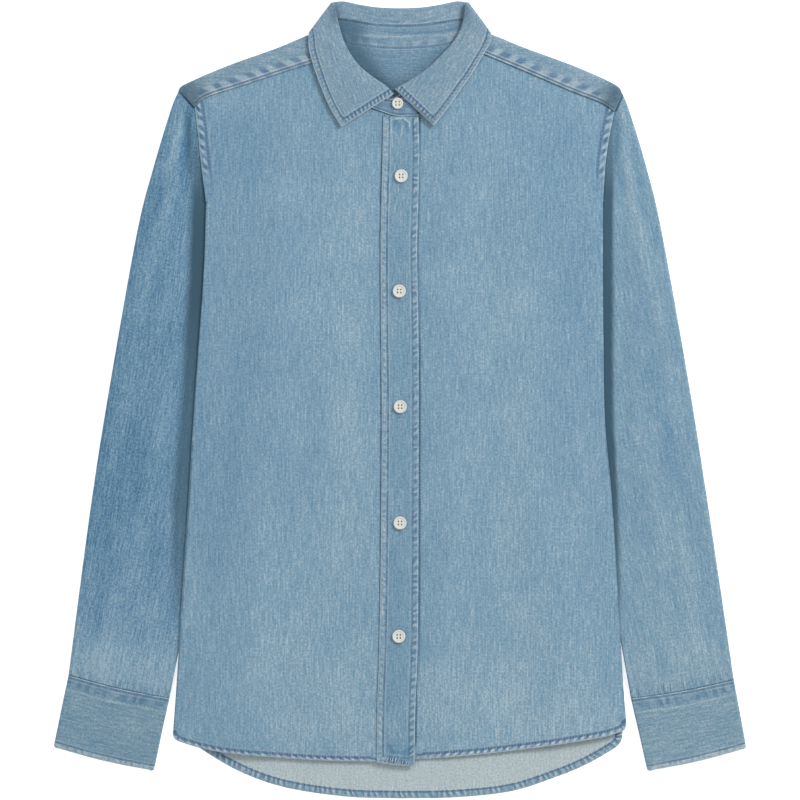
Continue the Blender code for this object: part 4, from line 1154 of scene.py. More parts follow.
    def placket(self) -> ClothPiece:
        """Button band with stitched edges."""
        table = np.array(PLACKET)
        outer = Curve(table[:, [1, 0]])
        free_points = table[:, [2, 0]]
        free_points[-1, 1] -= PLACKET_FOOT_DROP
        free = Curve(free_points)
        down = uneven(free.length, 0.8, 2.2, 20.0)
        across = uneven(34.0, 0.6, 0.9, 7.0)
        first, last = outer.at(down), free.at(down)
        top = mix(first[0], last[0], across[:, None])
        bottom = mix(first[-1], last[-1], across[:, None]) - np.stack(
            [np.zeros_like(across), 0.9 * np.sin(math.pi * across)], axis=1)
        plan = span_edges(top, bottom, first, last, across, down)
        x, y = xy(plan)
        middle = np.abs(across - 0.5) * 2
        rounded = -0.35 * ramp(0.93, 1.0, middle) - 0.16 * bell(middle, 0.68, 0.07)
        ripple = 0.16 * np.sin(y / 6.1 + 1.5 * np.sin(y / 31.0)) * ramp(0.55, 0.85, middle)[None] * np.sign(x)
        z = layer(4.0) + rounded[None] + ripple + relief(self.band_folds, x, y)
        seams = (
            SeamLine(outer, allowance=PLACKET_STITCHES[0], reach=6.0, pucker=0.5),
            SeamLine(free, allowance=PLACKET_STITCHES[1], reach=6.6, pucker=0.9, stitched=0.55),
            SeamLine(Curve(bottom), allowance=7.4, reach=8.6, pucker=2.2, stitched=0.7, pace=2.4),
        )
        seam_, trim = seam_field(plan, seams)
        finish = Denim("denim_placket", pucker_pitch=6.0, pucker_slant=24.0, pucker_uneven=6.5,
                       pucker_strength=0.5, rubbed=0.35, stitch_width=0.6, evenness=0.3, stitch_even=0.4)
        # the band's folds are also painted lighter on their ridges and darker in their troughs: painted highlight and
        # shade
        folds = relief(self.band_folds, x, y)
        wash_and_shade = -0.04 + 0.1 * ramp(6.4, 4.6, seam_[..., 1]) * (x < 0.0) + 0.3 * folds
        grain = grain_of(plan, shift=2700.0, wash_and_shade=wash_and_shade)
        return ClothPiece("placket_shell", over(plan, z), grain, seam_, trim, finish)


@dataclass
class Sleeve:
    """One set-in sleeve, flattened, with its cuff."""

    side: Side
    body: Body
    creases: ClassVar[dict[int, Creases]] = {
        # x, y, length, width, rise, heading
        -1: crease_table(
            (-205.0, 244.0, 70.0, 4.0, 0.55, 78.0),
            (-197.0, 236.0, 80.0, 3.5, -0.5, 84.0),
            (-213.0, 214.0, 110.0, 5.0, -0.35, 74.0),
            (-222.0, 150.0, 170.0, 7.0, 0.5, 77.0),
            (-240.0, 20.0, 220.0, 8.0, -0.4, 80.0),
            (-228.0, -60.0, 200.0, 9.0, 0.45, 78.0),
            (-262.0, -150.0, 180.0, 8.0, 0.4, 82.0),
            (-232.0, -190.0, 120.0, 6.0, -0.35, 84.0),
        ),
        1: crease_table(
            (207.0, 240.0, 70.0, 4.0, 0.55, 100.0),
            (200.0, 230.0, 80.0, 3.5, -0.5, 96.0),
            (216.0, 206.0, 110.0, 5.0, -0.35, 105.0),
            (224.0, 140.0, 170.0, 7.0, 0.5, 103.0),
            (242.0, 10.0, 220.0, 8.0, -0.4, 100.0),
            (230.0, -70.0, 200.0, 9.0, 0.45, 102.0),
            (264.0, -160.0, 180.0, 8.0, 0.4, 98.0),
            (236.0, -200.0, 120.0, 6.0, -0.35, 96.0),
        ),
    }
    valleys: ClassVar[dict[int, tuple[tuple[float, float, float], ...]]] = {
        # y, width of the painted shade in the hollow beside the body, depth of its tone
        -1: ((-212.0, 3.0, 0.0), (-184.0, 8.0, 0.4), (-139.0, 12.5, 0.55), (-93.0, 14.5, 0.72), (0.0, 12.0, 0.75),
             (91.0, 13.5, 1.0), (150.0, 13.5, 1.0), (183.0, 13.0, 0.95), (205.0, 10.0, 0.65), (240.0, 5.0, 0.4),
             (262.0, 1.5, 0.2)),
        1: ((-212.0, 2.0, 0.0), (-184.0, 2.4, 0.5), (-139.0, 4.0, 0.8), (-93.0, 5.4, 0.95), (-47.0, 7.4, 1.0),
            (91.0, 9.4, 1.0), (190.0, 9.0, 0.95), (220.0, 7.0, 0.7), (262.0, 2.0, 0.3)),
    }
    # streaks of painted shade on the sleeve beside the armhole, under the body's edge
    cores: ClassVar[dict[int, Creases]] = {
        # x, y, length, width, share of painted shade, heading
        -1: crease_table((-193.6, 232.0, 74.0, 3.4, 0.6, 94.0)),
        1: crease_table((198.4, 228.0, 70.0, 3.0, 0.4, 86.0)),
    }
    fades: ClassVar[dict[int, Creases]] = {
        # x, y, length, width, how much lighter, heading
        -1: crease_table(
            (-252.0, -30.0, 220.0, 34.0, -0.05, 78.0),
            (-232.0, 52.0, 120.0, 11.0, 0.12, 76.0),
            (-254.0, -28.0, 90.0, 10.0, 0.08, 76.0),
            (-238.0, -80.0, 80.0, 16.0, -0.09, 78.0),
            (-270.0, -175.0, 100.0, 11.0, -0.1, 80.0),
            (-229.0, -185.0, 70.0, 9.0, 0.07, 82.0),
            (-224.0, 160.0, 170.0, 26.0, -0.04, 76.0),
            (-208.0, 230.0, 60.0, 5.0, 0.10, 72.0),
            (-262.0, -248.0, 150.0, 38.0, 0.17, 0.0),
        ),
        1: crease_table(
            (242.0, 0.0, 560.0, 60.0, -0.035, 102.0),
            (244.0, 20.0, 150.0, 10.0, 0.09, 104.0),
            (221.0, -28.0, 150.0, 10.0, -0.07, 102.0),
            (235.0, -178.0, 80.0, 11.0, 0.1, 98.0),
            (262.0, -245.0, 150.0, 36.0, 0.05, 0.0),
        ),
    }

    def layers(self, x: np.ndarray, y: np.ndarray, along: np.ndarray) -> tuple[np.ndarray, np.ndarray]:
        """Layers of the upper and lower wall at each plan point."""
        outward = np.abs(x) - np.abs(side_fold_x(y, self.side.value))
        tucked = ramp(34.0, 12.0, outward) * ramp(222.0, 190.0, y)
        valley = (ramp(0.0, 9.0, outward) * ramp(26.0, 12.0, outward) * ramp(-150.0, 60.0, y) * ramp(240.0, 200.0, y))
        crest = ramp(16.0, 40.0, outward) * ramp(0.0, 0.12, along)
        lower = 2.0 * tucked * ramp(1.0, 0.92, along)
        upper = mix(3.0 + 0.55 * crest - 0.7 * valley, 1.95, ramp(0.93, 1.0, along))
        return np.maximum(upper, lower + 1.0), lower

    def tube(self) -> ClothPiece:
        """The sleeve as a flattened tube."""
        sign = self.side.value
        armhole, hidden = self.body.armhole(sign)
        outer_curve = Curve(SLEEVE_OUTER[sign])
        seam_outer, seam_inner = np.array(CUFFS[sign][0]), np.array(CUFFS[sign][1])
        cap = Curve([SLEEVE_OUTER[sign][0], ARMHOLES[sign][0]])
        top_curve = Curve(cap.points, armhole.points, np.vstack([armhole.points[-1:], hidden]), smooth=False)
        shares = np.linspace(0.0, 1.0, 60)
        top = top_curve.at(shares)
        tucked = ramp(0.0, 0.02, shares) * ramp(FOLD_TOP_Y - 6.0, FOLD_TOP_Y + 6.0, top[:, 1])
        top[:, 0] += sign * (0.3 - 2.0 * tucked)
        top[-1, 0] += sign * 3.0
        towards_hand = np.array((seam_inner - seam_outer)[::-1]) * (1.0, -1.0)
        towards_hand *= -sign / np.linalg.norm(towards_hand)
        bottom = Curve([seam_outer, seam_inner]).at(shares)
        bottom = bottom + towards_hand * (0.5 + CUFF_BOW * np.sin(math.pi * shares))[:, None]
        down = uneven(outer_curve.length, 2.0, 3.2, 30.0)
        outer = outer_curve.at(down)
        outer[0], outer[-1] = top[0], bottom[0]
        inner = Curve([top[-1], bottom[-1]]).at(down)
        plan = span_edges(top, bottom, outer, inner, shares, down)
        along = np.broadcast_to(down[:, None], plan.shape[:2])
        x, y = xy(plan)
        upper, lower = self.layers(x, y, along)
        lift = relief(self.creases[sign], x, y)
        lift = lift * ramp(0.0, 0.06, along) * ramp(1.0, 0.95, along)
        visible = np.maximum(ramp(-2.0, 6.0, np.abs(x) - np.abs(side_fold_x(y, sign))), ramp(184.0, 200.0, y))
        cuff_end = ramp(0.86, 0.99, along)
        across = shares[None] * 100.0
        gathers = 0.32 * np.sin(across / 2.3 + 2.0 * np.sin(across / 13.0)) * cuff_end * ramp(1.0, 0.985, along)
        low = layer(lower)
        under_front = 1.3 * ramp(0.016, 0.0, along) * tucked[None]
        high = layer(upper) + lift * visible + gathers - under_front
        inward, outward = unit(plan[:, 1] - plan[:, 0]), unit(plan[:, -2] - plan[:, -1])
        reach = (high[:, 0] - low[:, 0]) / 2 + WALL / 2
        outer_arc = fold(plan[:, 0] + inward * reach[:, None], -inward, low[:, 0], high[:, 0])
        reach_in = (high[:, -1] - low[:, -1]) / 2 + WALL / 2
        inner_arc = fold(plan[:, -1] + outward * reach_in[:, None], -outward, high[:, -1], low[:, -1])
        keep = (np.abs(plan - plan[:, :1]).sum(axis=2) > 4.0).all(axis=0)
        keep &= (np.abs(plan - plan[:, -1:]).sum(axis=2) > 3.0).all(axis=0)
        under = np.nonzero(keep)[0][::-3]
        points = np.concatenate(
            [outer_arc, over(plan, high)[:, keep], inner_arc, over(plan, low)[:, under]], axis=1)
        points = np.concatenate([points, points[:, :1]], axis=1)
        flat = points[..., :2]
        wrist = Curve(bottom[::4], bottom[-1:], smooth=False)
        seam = SeamLine(wrist, allowance=0.6, reach=12.0, pucker=0.9, worn=0.0, stitched=0.8)
        tip = SeamLine(cap, allowance=0.7, pucker=0.0, worn=0.0, stitched=1.0)
        seam_, trim = seam_field(flat, [seam, tip])
        # painted shade along the seam at the cap
        by_cap = 0.75 * ramp(1.9, 0.9, seam_[..., 1]) * (seam_[..., 2] > 0.65)
        x, y = xy(flat)
        # painted shade: the hollow beside the body, the line at the cap and the streak beside the armhole
        trim[..., 2] = np.maximum(np.maximum(self.painted_shade(x, y), by_cap), relief(self.cores[sign], x, y))
        wash_and_shade = relief(self.fades[sign], x, y) + 0.2 * relief(self.creases[sign], x, y)
        heading = math.degrees(math.atan2(*(outer_curve.points[0] - outer_curve.points[-1])[::-1]))
        grain = grain_of(flat, heading=heading - 1.5 * sign, shift=3300.0 + 500.0 * sign, wash_and_shade=wash_and_shade)
        if sign > 0:
            points, seam_, trim, grain = (block[:, ::-1] for block in (points, seam_, trim, grain))
        tones = {"light": "#98B0BF", "middle": "#6C90A8", "dark": "#436E8F"} if sign < 0 else {}
        word = self.side.name.lower()
        finish = Denim(f"denim_sleeve_{word}", pucker_pitch=6.0, pucker_slant=0.0,
                       pucker_strength=0.2, rubbed=0.5, **tones)
        return ClothPiece(f"sleeve_{word}_shell", points, grain, seam_, trim, finish, ring=True)

    def body_edge(self, y: np.ndarray) -> np.ndarray:
        """How far from the middle the body's visible edge lies at this y."""
        sign = self.side.value
        armhole = np.array(ARMHOLES[sign])
        above = np.abs(np.interp(y, armhole[::-1, 1], armhole[::-1, 0]))
        return np.where(y > FOLD_TOP_Y, above, np.abs(side_fold_x(y, sign)))

    def painted_shade(self, x: np.ndarray, y: np.ndarray) -> np.ndarray:
        """Painted shade in the hollow beside the body, as a share."""
        table = np.array(self.valleys[self.side.value])
        width, tone = np.interp(y, table[:, 0], table[:, 1]), np.interp(y, table[:, 0], table[:, 2])
        tone = tone * ramp(268.0, 258.0, y)
        outward = np.abs(x) - self.body_edge(y)
        soft = 6.0 if self.side is Side.RIGHT else 3.4
        return tone * np.clip((width + soft / 2 - outward) / soft, 0.0, 1.0)

    def cuff(self) -> ClothPiece:
        """The cuff as a flattened band, raised over its seam allowance."""
        sign = self.side.value
        seam_outer, seam_inner, edge_outer, edge_inner = (np.array(p) for p in CUFFS[sign])
        length = float(np.linalg.norm(edge_outer - seam_outer))
        down = uneven(length, 0.8, 1.8, 6.0)
        v = down[:, None]
        corner = np.clip((down * length - length + CUFF_CORNER) / CUFF_CORNER, 0.0, 1.0)
        corner = CUFF_CORNER * (1.0 - np.sqrt(1.0 - corner**2))[:, None]
        outer, inner = mix(seam_outer, edge_outer, v), mix(seam_inner, edge_inner, v)
        along = inner - outer
        width = float(np.linalg.norm(along[0]))
        along = unit(along)
        towards_hand = np.stack([along[:, 1], -along[:, 0]], axis=1) * (1.0 if sign < 0 else -1.0)
        low_z = CUFF_WALL / 2
        high_z = low_z + CUFF_WALL + CUFF_HOLLOW
        reach = (high_z - low_z) / 2 + CUFF_WALL / 2
        a, b = outer + along * (reach + corner), inner - along * (reach + corner)
        u = uneven(width, 0.9, 1.6, 4.0)[1:-1]
        flat = mix(a[:, None], b[:, None], u[None, :, None])
        flat = flat + towards_hand[:, None] * (CUFF_BOW * np.sin(math.pi * u))[None, :, None]
        t = down * length
        allowance = 0.32 * bell(t, 12.4, 1.3) - 0.14 * bell(t, 8.0, 3.0)
        hem_groove = -0.2 * bell(length - t, 4.6, 0.9)
        soft = 0.25 * np.sin(u[None] * 9.0 + t[:, None] / 14.0) * ramp(12.0, 26.0, t)[:, None]
        top_z = high_z + (allowance + hem_groove)[:, None] + soft * 0.6
        rows = len(down)
        outer_arc = fold(a, -along, np.full(rows, low_z), top_z[:, 0])
        inner_arc = fold(b, along, top_z[:, -1], np.full(rows, low_z))
        upper = over(flat, top_z)
        lower = over(flat[:, ::-2], low_z)
        points = np.concatenate([outer_arc, upper, inner_arc, lower], axis=1)
        points = np.concatenate([points, points[:, :1]], axis=1)
        plan = points[..., :2]
        bow = np.array([math.sin(math.pi * k / 12) for k in range(13)])[:, None]
        ends = [mix(p, q, np.linspace(0, 1, 13)[:, None]) + towards_hand[0] * CUFF_BOW * bow
                for p, q in ((seam_outer, seam_inner), (edge_outer, edge_inner))]
        joins = (
            SeamLine(Curve(ends[0]), CUFF_STITCHES[0], reach=13.0, pucker=0.75, stitched=0.75),
            SeamLine(Curve(ends[1]), CUFF_STITCHES[1], reach=5.6, pucker=0.6, stitched=0.8, pace=1.6),
        )
        seam_, trim = seam_field(plan, joins)
        heading = math.degrees(math.atan2(*(seam_inner - seam_outer)[::-1]))
        by_seam = seam_[..., 2] < 3.0
        band, rim = np.where(by_seam, seam_[..., 1], NO_SEAM), np.where(by_seam, NO_SEAM, seam_[..., 1])
        wash_and_shade = 0.02 * sign - 0.02 - 0.08 * ramp(12.5, 9.0, band) + 0.14 * bell(band, 13.0, 0.9)
        wash_and_shade = wash_and_shade + 0.2 * ramp(4.8, 4.0, rim)
        grain = grain_of(plan, heading=heading, shift=4700.0 + 500.0 * sign, wash_and_shade=wash_and_shade)
        if sign > 0:
            points, seam_, trim, grain = (block[:, ::-1] for block in (points, seam_, trim, grain))
        word = self.side.name.lower()
        finish = Denim(f"denim_cuff_{word}", light="#A8B8BF", middle="#7F9AAA", dark="#5E829A",
                       pucker_pitch=10.5, pucker_slant=-18.0, pucker_uneven=6.5, pucker_strength=0.5, rubbed=0.15,
                       stitch_width=0.6, edge_width=0.45, evenness=0.2, stitch_even=0.5, pale="#C6D1D8")
        return ClothPiece(f"cuff_{word}_shell", points, grain, seam_, trim, finish, wall=CUFF_WALL, ring=True)


@dataclass
class Neck:
    """Collar fall and stand round the flattened neck."""

    streaks: Creases = crease_table(
        # along the stand from its middle, up it, length, width, how much lighter, heading
        (-22.0, 12.0, 50.0, 1.6, 0.16, 3.0),
        (8.0, 15.0, 70.0, 1.8, -0.12, -2.0),
        (34.0, 10.0, 44.0, 1.5, 0.12, -4.0),
        (-40.0, 8.0, 40.0, 2.0, -0.10, 5.0),
    )

    def stations(self) -> np.ndarray:
        """Rows of neck seam, collar seam, roll, outer edge, turn and side from the right leaf round to the left."""
        halves = []
        for sign in (-1, 1):
            rows = [[*np.ravel(row), 0.0, sign] for row in LEAVES[sign]]
            for *row, turn in COLLAR_BACK:
                mirrored = [(-p[0] * sign, p[1]) for p in row]
                rows.append([*np.ravel(mirrored), math.radians(turn), sign])
            halves.append(rows)
        return np.array(halves[0] + halves[1][:-1][::-1])

    def dense(self) -> np.ndarray:
        """Stations between those of the table, on smooth curves."""
        coarse = self.stations()
        t = np.arange(len(coarse), dtype=float)
        fine = np.linspace(0.0, len(coarse) - 1, (len(coarse) - 1) * STATION_ROWS + 1)
        made = np.zeros((len(fine), coarse.shape[1]))
        for column in range(coarse.shape[1]):
            made[:, column] = self._ease(t, coarse[:, column], fine)
        made[:, 8] = np.interp(fine, t, coarse[:, 8])
        made[:, 9] = np.where(fine <= (len(coarse) - 1) / 2, -1.0, 1.0)
        return made

    @staticmethod
    def _ease(t: np.ndarray, values: np.ndarray, fine: np.ndarray) -> np.ndarray:
        """Monotone cubic through the values, which doesn't swing past them."""
        step = np.diff(values)
        slope = np.zeros_like(values)
        same = step[:-1] * step[1:] > 0
        slope[1:-1][same] = 2 * step[:-1][same] * step[1:][same] / (step[:-1] + step[1:])[same]
        slope[0], slope[-1] = step[0], step[-1]
        k = np.clip(fine.astype(int), 0, len(t) - 2)
        s = fine - k
        a, b, ma, mb = values[k], values[k + 1], slope[k], slope[k + 1]
        return ((2 * s**3 - 3 * s**2 + 1) * a + (s**3 - 2 * s**2 + s) * ma + (3 * s**2 - 2 * s**3) * b
                + (s**3 - s**2) * mb)

    @staticmethod
    def normals(roll: Plan, outer: Plan, side: np.ndarray) -> Plan:
        """Plan directions away from the neck, square to the lines from roll to outer edge."""
        along = unit(outer - roll)
        normal = np.stack([along[:, 1], -along[:, 0]], axis=1)
        return normal * np.where(normal[:, 0] * side > 0.0, 1.0, -1.0)[:, None]

    @staticmethod
    def place(plan: Plan, outward: Plan, turn: np.ndarray, spread: np.ndarray, here: np.ndarray) -> np.ndarray:
        """Points of the flattened ring round the neck."""
        high, low = layer(here), layer(STAND_BACK_LAYER)
        reach = (high - low) / 2 + spread
        return over(plan + outward * (reach * np.sin(turn))[:, None], (high + low) / 2 + reach * np.cos(turn))

    def fall(self) -> ClothPiece:
        """The collar from its seam on the stand over the roll to the outer edge."""
        rows = self.dense()
        seam, roll, outer = rows[:, 2:4], rows[:, 4:6], rows[:, 6:8]
        turn, side = rows[:, 8], rows[:, 9]
        outward = self.normals(roll, outer, side)
        spread = layer(STAND_BACK_LAYER) - layer(0.0)
        across = unit(roll - seam)
        start = mix(seam, roll, -0.02)
        centre = roll - across * (spread / 2 + WALL / 2)
        here = np.full(len(rows), COLLAR_LAYER)
        columns, flats = [], []
        for t in np.linspace(0.0, 1.0, 9)[:-1]:
            plan = mix(start, centre, t)
            columns.append(self.place(plan, outward, turn, np.zeros(len(rows)), here))
            flats.append(np.full(len(rows), -14.0 * (1 - t)))
        arc = 8
        for k in range(arc + 1):
            angle = math.pi * k / arc
            plan = centre + across * (spread / 2 * math.sin(angle))
            fallen = np.full(len(rows), spread / 2 * (1 - math.cos(angle)))
            columns.append(self.place(plan, outward, turn, fallen, here))
            flats.append(np.full(len(rows), 3.0 * k / arc))
        leaf = uneven(44.0, 0.8, 1.5, 8.0, both=False)[1:]
        width = np.linalg.norm(outer - centre, axis=1)
        rim = self.place(outer, outward, turn, np.full(len(rows), spread), here)
        edge_way = way_along(rim)
        for t in leaf:
            fallen = LEAF_DROP * t * t * np.maximum(np.cos(turn), 0.0)
            inset = (1 - t) * width
            swell = 0.9 * math.sin(math.pi * min(t * 1.05, 1.0)) + 1.3 * t * t
            near_edge = float(ramp(9.0, 4.0, float(np.median(inset))))
            ridge = 0.22 * np.sin(edge_way / 3.4 + 1.8 * np.sin(edge_way / 17.0)) * near_edge
            groove = -0.22 * bell(inset, LEAF_STITCH, 1.0)
            raised = (swell + ridge + groove) * np.maximum(np.cos(turn), 0.0)
            columns.append(self.place(mix(centre, outer, t), outward, turn, spread - fallen + raised, here))
            flats.append(3.0 + t * width)
        points = np.stack(columns, axis=1)
        flat = np.stack([np.broadcast_to(edge_way[:, None], points.shape[:2]), np.stack(flats, axis=1)], axis=-1)
        distance = np.concatenate(
            [np.full((len(rows), points.shape[1] - len(leaf)), 30.0), (1 - leaf)[None] * width[:, None]], axis=1)
        front = np.linalg.norm(points[..., :2] - self._nearest(points[..., :2], outer, centre), axis=-1)
        way = flat[..., 0].copy()
        closer = front < distance
        tips = np.where((side < 0)[:, None], outer[0], outer[-1])
        way[closer] = 900.0 + np.linalg.norm(points[..., :2] - tips[:, None], axis=-1)[closer]
        distance = np.minimum(distance, front)
        on_leaf = np.concatenate([np.zeros(points.shape[1] - len(leaf)), leaf])
        mitre = ramp(0.5, 5.0, np.abs(front - (1 - on_leaf)[None] * width[:, None]))
        ones = np.ones_like(way)
        seam_ = np.stack([way, distance, LEAF_STITCH * ones], axis=-1)
        # painted shade in the corners where the roll turns in at the back of the neck
        shade = sum(tone * np.exp(-(((points[..., 0] - x) / 5.0) ** 2) - ((points[..., 1] - 355.0) / 10.0) ** 2)
                    for x, tone in ((-60.0, 0.6), (60.0, 0.4)))
        trim = np.stack([np.where(closer, 1.0, 0.35) * mitre, ones, shade, ones, 7.4 * ones], axis=-1)
        finish = Denim("denim_collar", **GREYER, pucker_pitch=3.8, pucker_slant=16.0, pucker_uneven=2.0,
                       pucker_strength=0.75, wear=0.9, evenness=0.75)
        grain = self._collar_grain(rows, points, width, edge_way, leaf)
        return ClothPiece("collar_shell", points, grain, seam_, trim, finish)

    @staticmethod
    def _collar_grain(rows: np.ndarray, points: np.ndarray, width: np.ndarray, edge_way: np.ndarray,
                      leaf: np.ndarray) -> np.ndarray:
        """Place in the collar's cloth: rigid over each leaf, along the edge round the back."""
        count, across = points.shape[:2]
        shares = np.concatenate([np.linspace(1.4, 1.0, across - len(leaf)), 1 - leaf])
        made = np.zeros((count, across, 3))
        made[..., 0] = shares[None] * width[:, None]
        made[..., 1] = edge_way[:, None]
        flat_rows = np.nonzero(rows[:, 8] == 0.0)[0]
        for side in (-1, 1):
            mine = flat_rows[rows[flat_rows, 9] == side]
            tip, back = (mine[0], mine[-1]) if side < 0 else (mine[-1], mine[0])
            along = rows[back, 6:8] - rows[tip, 6:8]
            along /= np.linalg.norm(along)
            normal = np.array((along[1], -along[0]))
            normal *= np.sign(-side * normal[0])
            moved = points[mine][..., :2] - rows[back, 6:8]
            made[mine, :, 0] = moved @ normal
            made[mine, :, 1] = edge_way[back] - side * (moved @ -along)
        made[..., 0] += 5800.0
        return made

    @staticmethod
    def _nearest(plan: Plan, outer: Plan, centre: Plan) -> Plan:
        """Nearest point on the front edge of the leaf that each plan point belongs to."""
        made = np.full_like(plan, 1e4)
        half = len(plan) // 2
        for rows, end in ((slice(0, half), 0), (slice(half, None), -1)):
            a, b = centre[end], outer[end]
            t = np.clip(((plan[rows] - a) @ (b - a)) / ((b - a) @ (b - a)), 0.0, 1.0)
            made[rows] = a + t[..., None] * (b - a)
        return made

    def stand(self) -> ClothPiece:
        """The stand, from the neck seam to the collar seam, lapped at the front."""
        rows = self.dense()
        neck, seam = rows[:, 0:2], rows[:, 2:4]
        turn, side = rows[:, 8], rows[:, 9]
        outward = self.normals(rows[:, 4:6], rows[:, 6:8], side)
        from_left = np.arange(len(rows))[::-1] / STATION_ROWS
        here = np.where(side > 0, mix(3.0, 4.0, ramp(0.0, 3.0, from_left)), COLLAR_LAYER)
        ends = {}
        for sign in (-1, 1):
            listed = [[*a, *b, h] for a, b, h in STAND_ENDS[sign]]
            meet = 0 if sign < 0 else -1
            listed.append([*neck[meet], *seam[meet], float(here[meet])])
            listed_array = np.array(listed)
            t = np.arange(len(listed_array), dtype=float)
            fine = np.linspace(0.0, len(t) - 1, (len(t) - 1) * 10 + 1)[:-1]
            block = np.stack([self._ease(t, listed_array[:, c], fine) for c in range(5)], axis=1)
            ends[sign] = block if sign < 0 else block[::-1]
        neck = np.vstack([ends[-1][:, 0:2], neck, ends[1][:, 0:2]])
        seam = np.vstack([ends[-1][:, 2:4], seam, ends[1][:, 2:4]])
        here = np.concatenate([ends[-1][:, 4], here, ends[1][:, 4]])
        pad = (len(ends[-1]), len(ends[1]))
        turn = np.concatenate([np.zeros(pad[0]), turn, np.zeros(pad[1])])
        outward = np.vstack([np.tile((-1.0, 0.0), (pad[0], 1)), outward, np.tile((1.0, 0.0), (pad[1], 1))])
        start, end = mix(neck, seam, -0.03), mix(neck, seam, 1.04)
        shares = uneven(22.0, 0.9, 1.4, 4.0)
        edge = 0.55 * (ramp(0.10, 0.0, shares) + ramp(0.90, 1.0, shares))
        columns = [self.place(mix(start, end, t), outward, turn, lift * np.cos(turn), here)
                   for t, lift in zip(shares, edge)]
        points = np.stack(columns, axis=1)
        way = way_along(neck)
        width = np.linalg.norm(end - start, axis=1)
        up = shares[None] * width[:, None]
        distance = np.minimum(up, width[:, None] - up)
        along = np.broadcast_to(way[:, None], up.shape)
        ones = np.ones_like(up)
        low_edge = up < width[:, None] / 2
        seam_ = np.stack([along, distance, np.where(low_edge, *STAND_STITCHES)], axis=-1)
        middle = along - along[len(along) // 2]
        in_neck = np.abs(middle) < 90.0
        # painted shade at the stand's ends, under the inner edges of the leaves
        shade = (0.6 * ramp(-34.0, -58.0, middle) + 0.9 * ramp(36.0, 58.0, middle)) * in_neck
        trim = np.stack([np.where(low_edge, 0.8, 0.3), ones, shade, 0.8 * ones, np.where(low_edge, 10.0, 6.0)],
                        axis=-1)
        # a little darker all over, tone streaks, and painted shade darkening towards both ends
        wash_and_shade = -0.03 + 1.3 * relief(self.streaks, middle, up) - 0.12 * ramp(40.0, 68.0, abs(middle))
        grain = np.stack([up + 6600.0, along, wash_and_shade], axis=-1)
        finish = Denim("denim_stand", **GREYER, pucker_pitch=13.0, pucker_slant=6.0, pucker_uneven=5.0,
                       pucker_strength=0.2, rubbed=0.22, wear=0.8, stitch_width=1.2, stitch_tone=0.75,
                       edge_width=0.4)
        return ClothPiece("stand_shell", points, grain, seam_, trim, finish)


# ------------------------------------------------------------------------------------------ stitches and buttons
def drop(cloth: BVHTree, x: float, y: float) -> Optional[Vector]:
    """The top of the cloth at a plan point, in metres, or None past its edge."""
    return cloth.ray_cast(Vector((x * MM, y * MM, ABOVE_ALL)), Vector((0, 0, -1)))[0]


@dataclass
class StitchRow:
    """A row of stitches over a plan curve, lying on the top of one piece."""

    curve: Curve
    cloth: BVHTree
    pitch: float = STITCH
    start: float = 0.0
    end: float = 1.0

    def strands(self) -> list[tuple[Vector, Vector]]:
        """Ends of each stitch, in metres, with gaps where the row runs past the cloth."""
        count = max(int(self.curve.length * (self.end - self.start) / self.pitch), 1)
        shares = self.start + np.arange(count)[:, None] / count * (self.end - self.start)
        shares = shares + np.array([[0.1, 0.86]]) / count * (self.end - self.start)
        made = []
        for pair in self.curve.at(np.clip(shares, 0.0, 1.0)):
            hits = [drop(self.cloth, x, y) for x, y in pair]
            if all(hits) and abs(hits[0].z - hits[1].z) < 1.2 * MM:
                made.append((hits[0], hits[1]))
        return made


@dataclass
class Strands:
    """Short strands of thread joined in one mesh."""

    name: str
    ends: list[tuple[Vector, Vector]]
    thickness: float = 0.46
    raised: float = 0.06

    def build(self, finish: Thread) -> bpy.types.Object:
        """Makes each strand as a small stretched ball, half sunk in the cloth."""
        ball = bmesh.new()
        bmesh.ops.create_uvsphere(ball, u_segments=6, v_segments=4, radius=1.0)
        mesh = bpy.data.meshes.new(self.name)
        ball.to_mesh(mesh)
        ball.free()
        round_ = np.array([(*vertex.co, 1.0) for vertex in mesh.vertices])
        shape = bmesh.new()
        placed = []
        for start, end in self.ends:
            along = end - start
            turn = along.to_track_quat("X", "Z").to_matrix().to_4x4()
            size = Matrix.Diagonal((along.length / 2 * 1.05, self.thickness / 2 * MM, self.thickness / 2 * MM, 1.0))
            middle = (start + end) / 2 + Vector((0.0, 0.0, self.raised * MM))
            placed.append(round_ @ np.array(Matrix.Translation(middle) @ turn @ size).T[:, :3])
            shape.from_mesh(mesh)
        shape.to_mesh(mesh)
        shape.free()
        mesh.vertices.foreach_set("co", np.concatenate(placed).astype(np.float32).ravel())
        mesh.materials.append(finish.material())
        mesh.shade_smooth()
        return add_object(self.name, mesh)


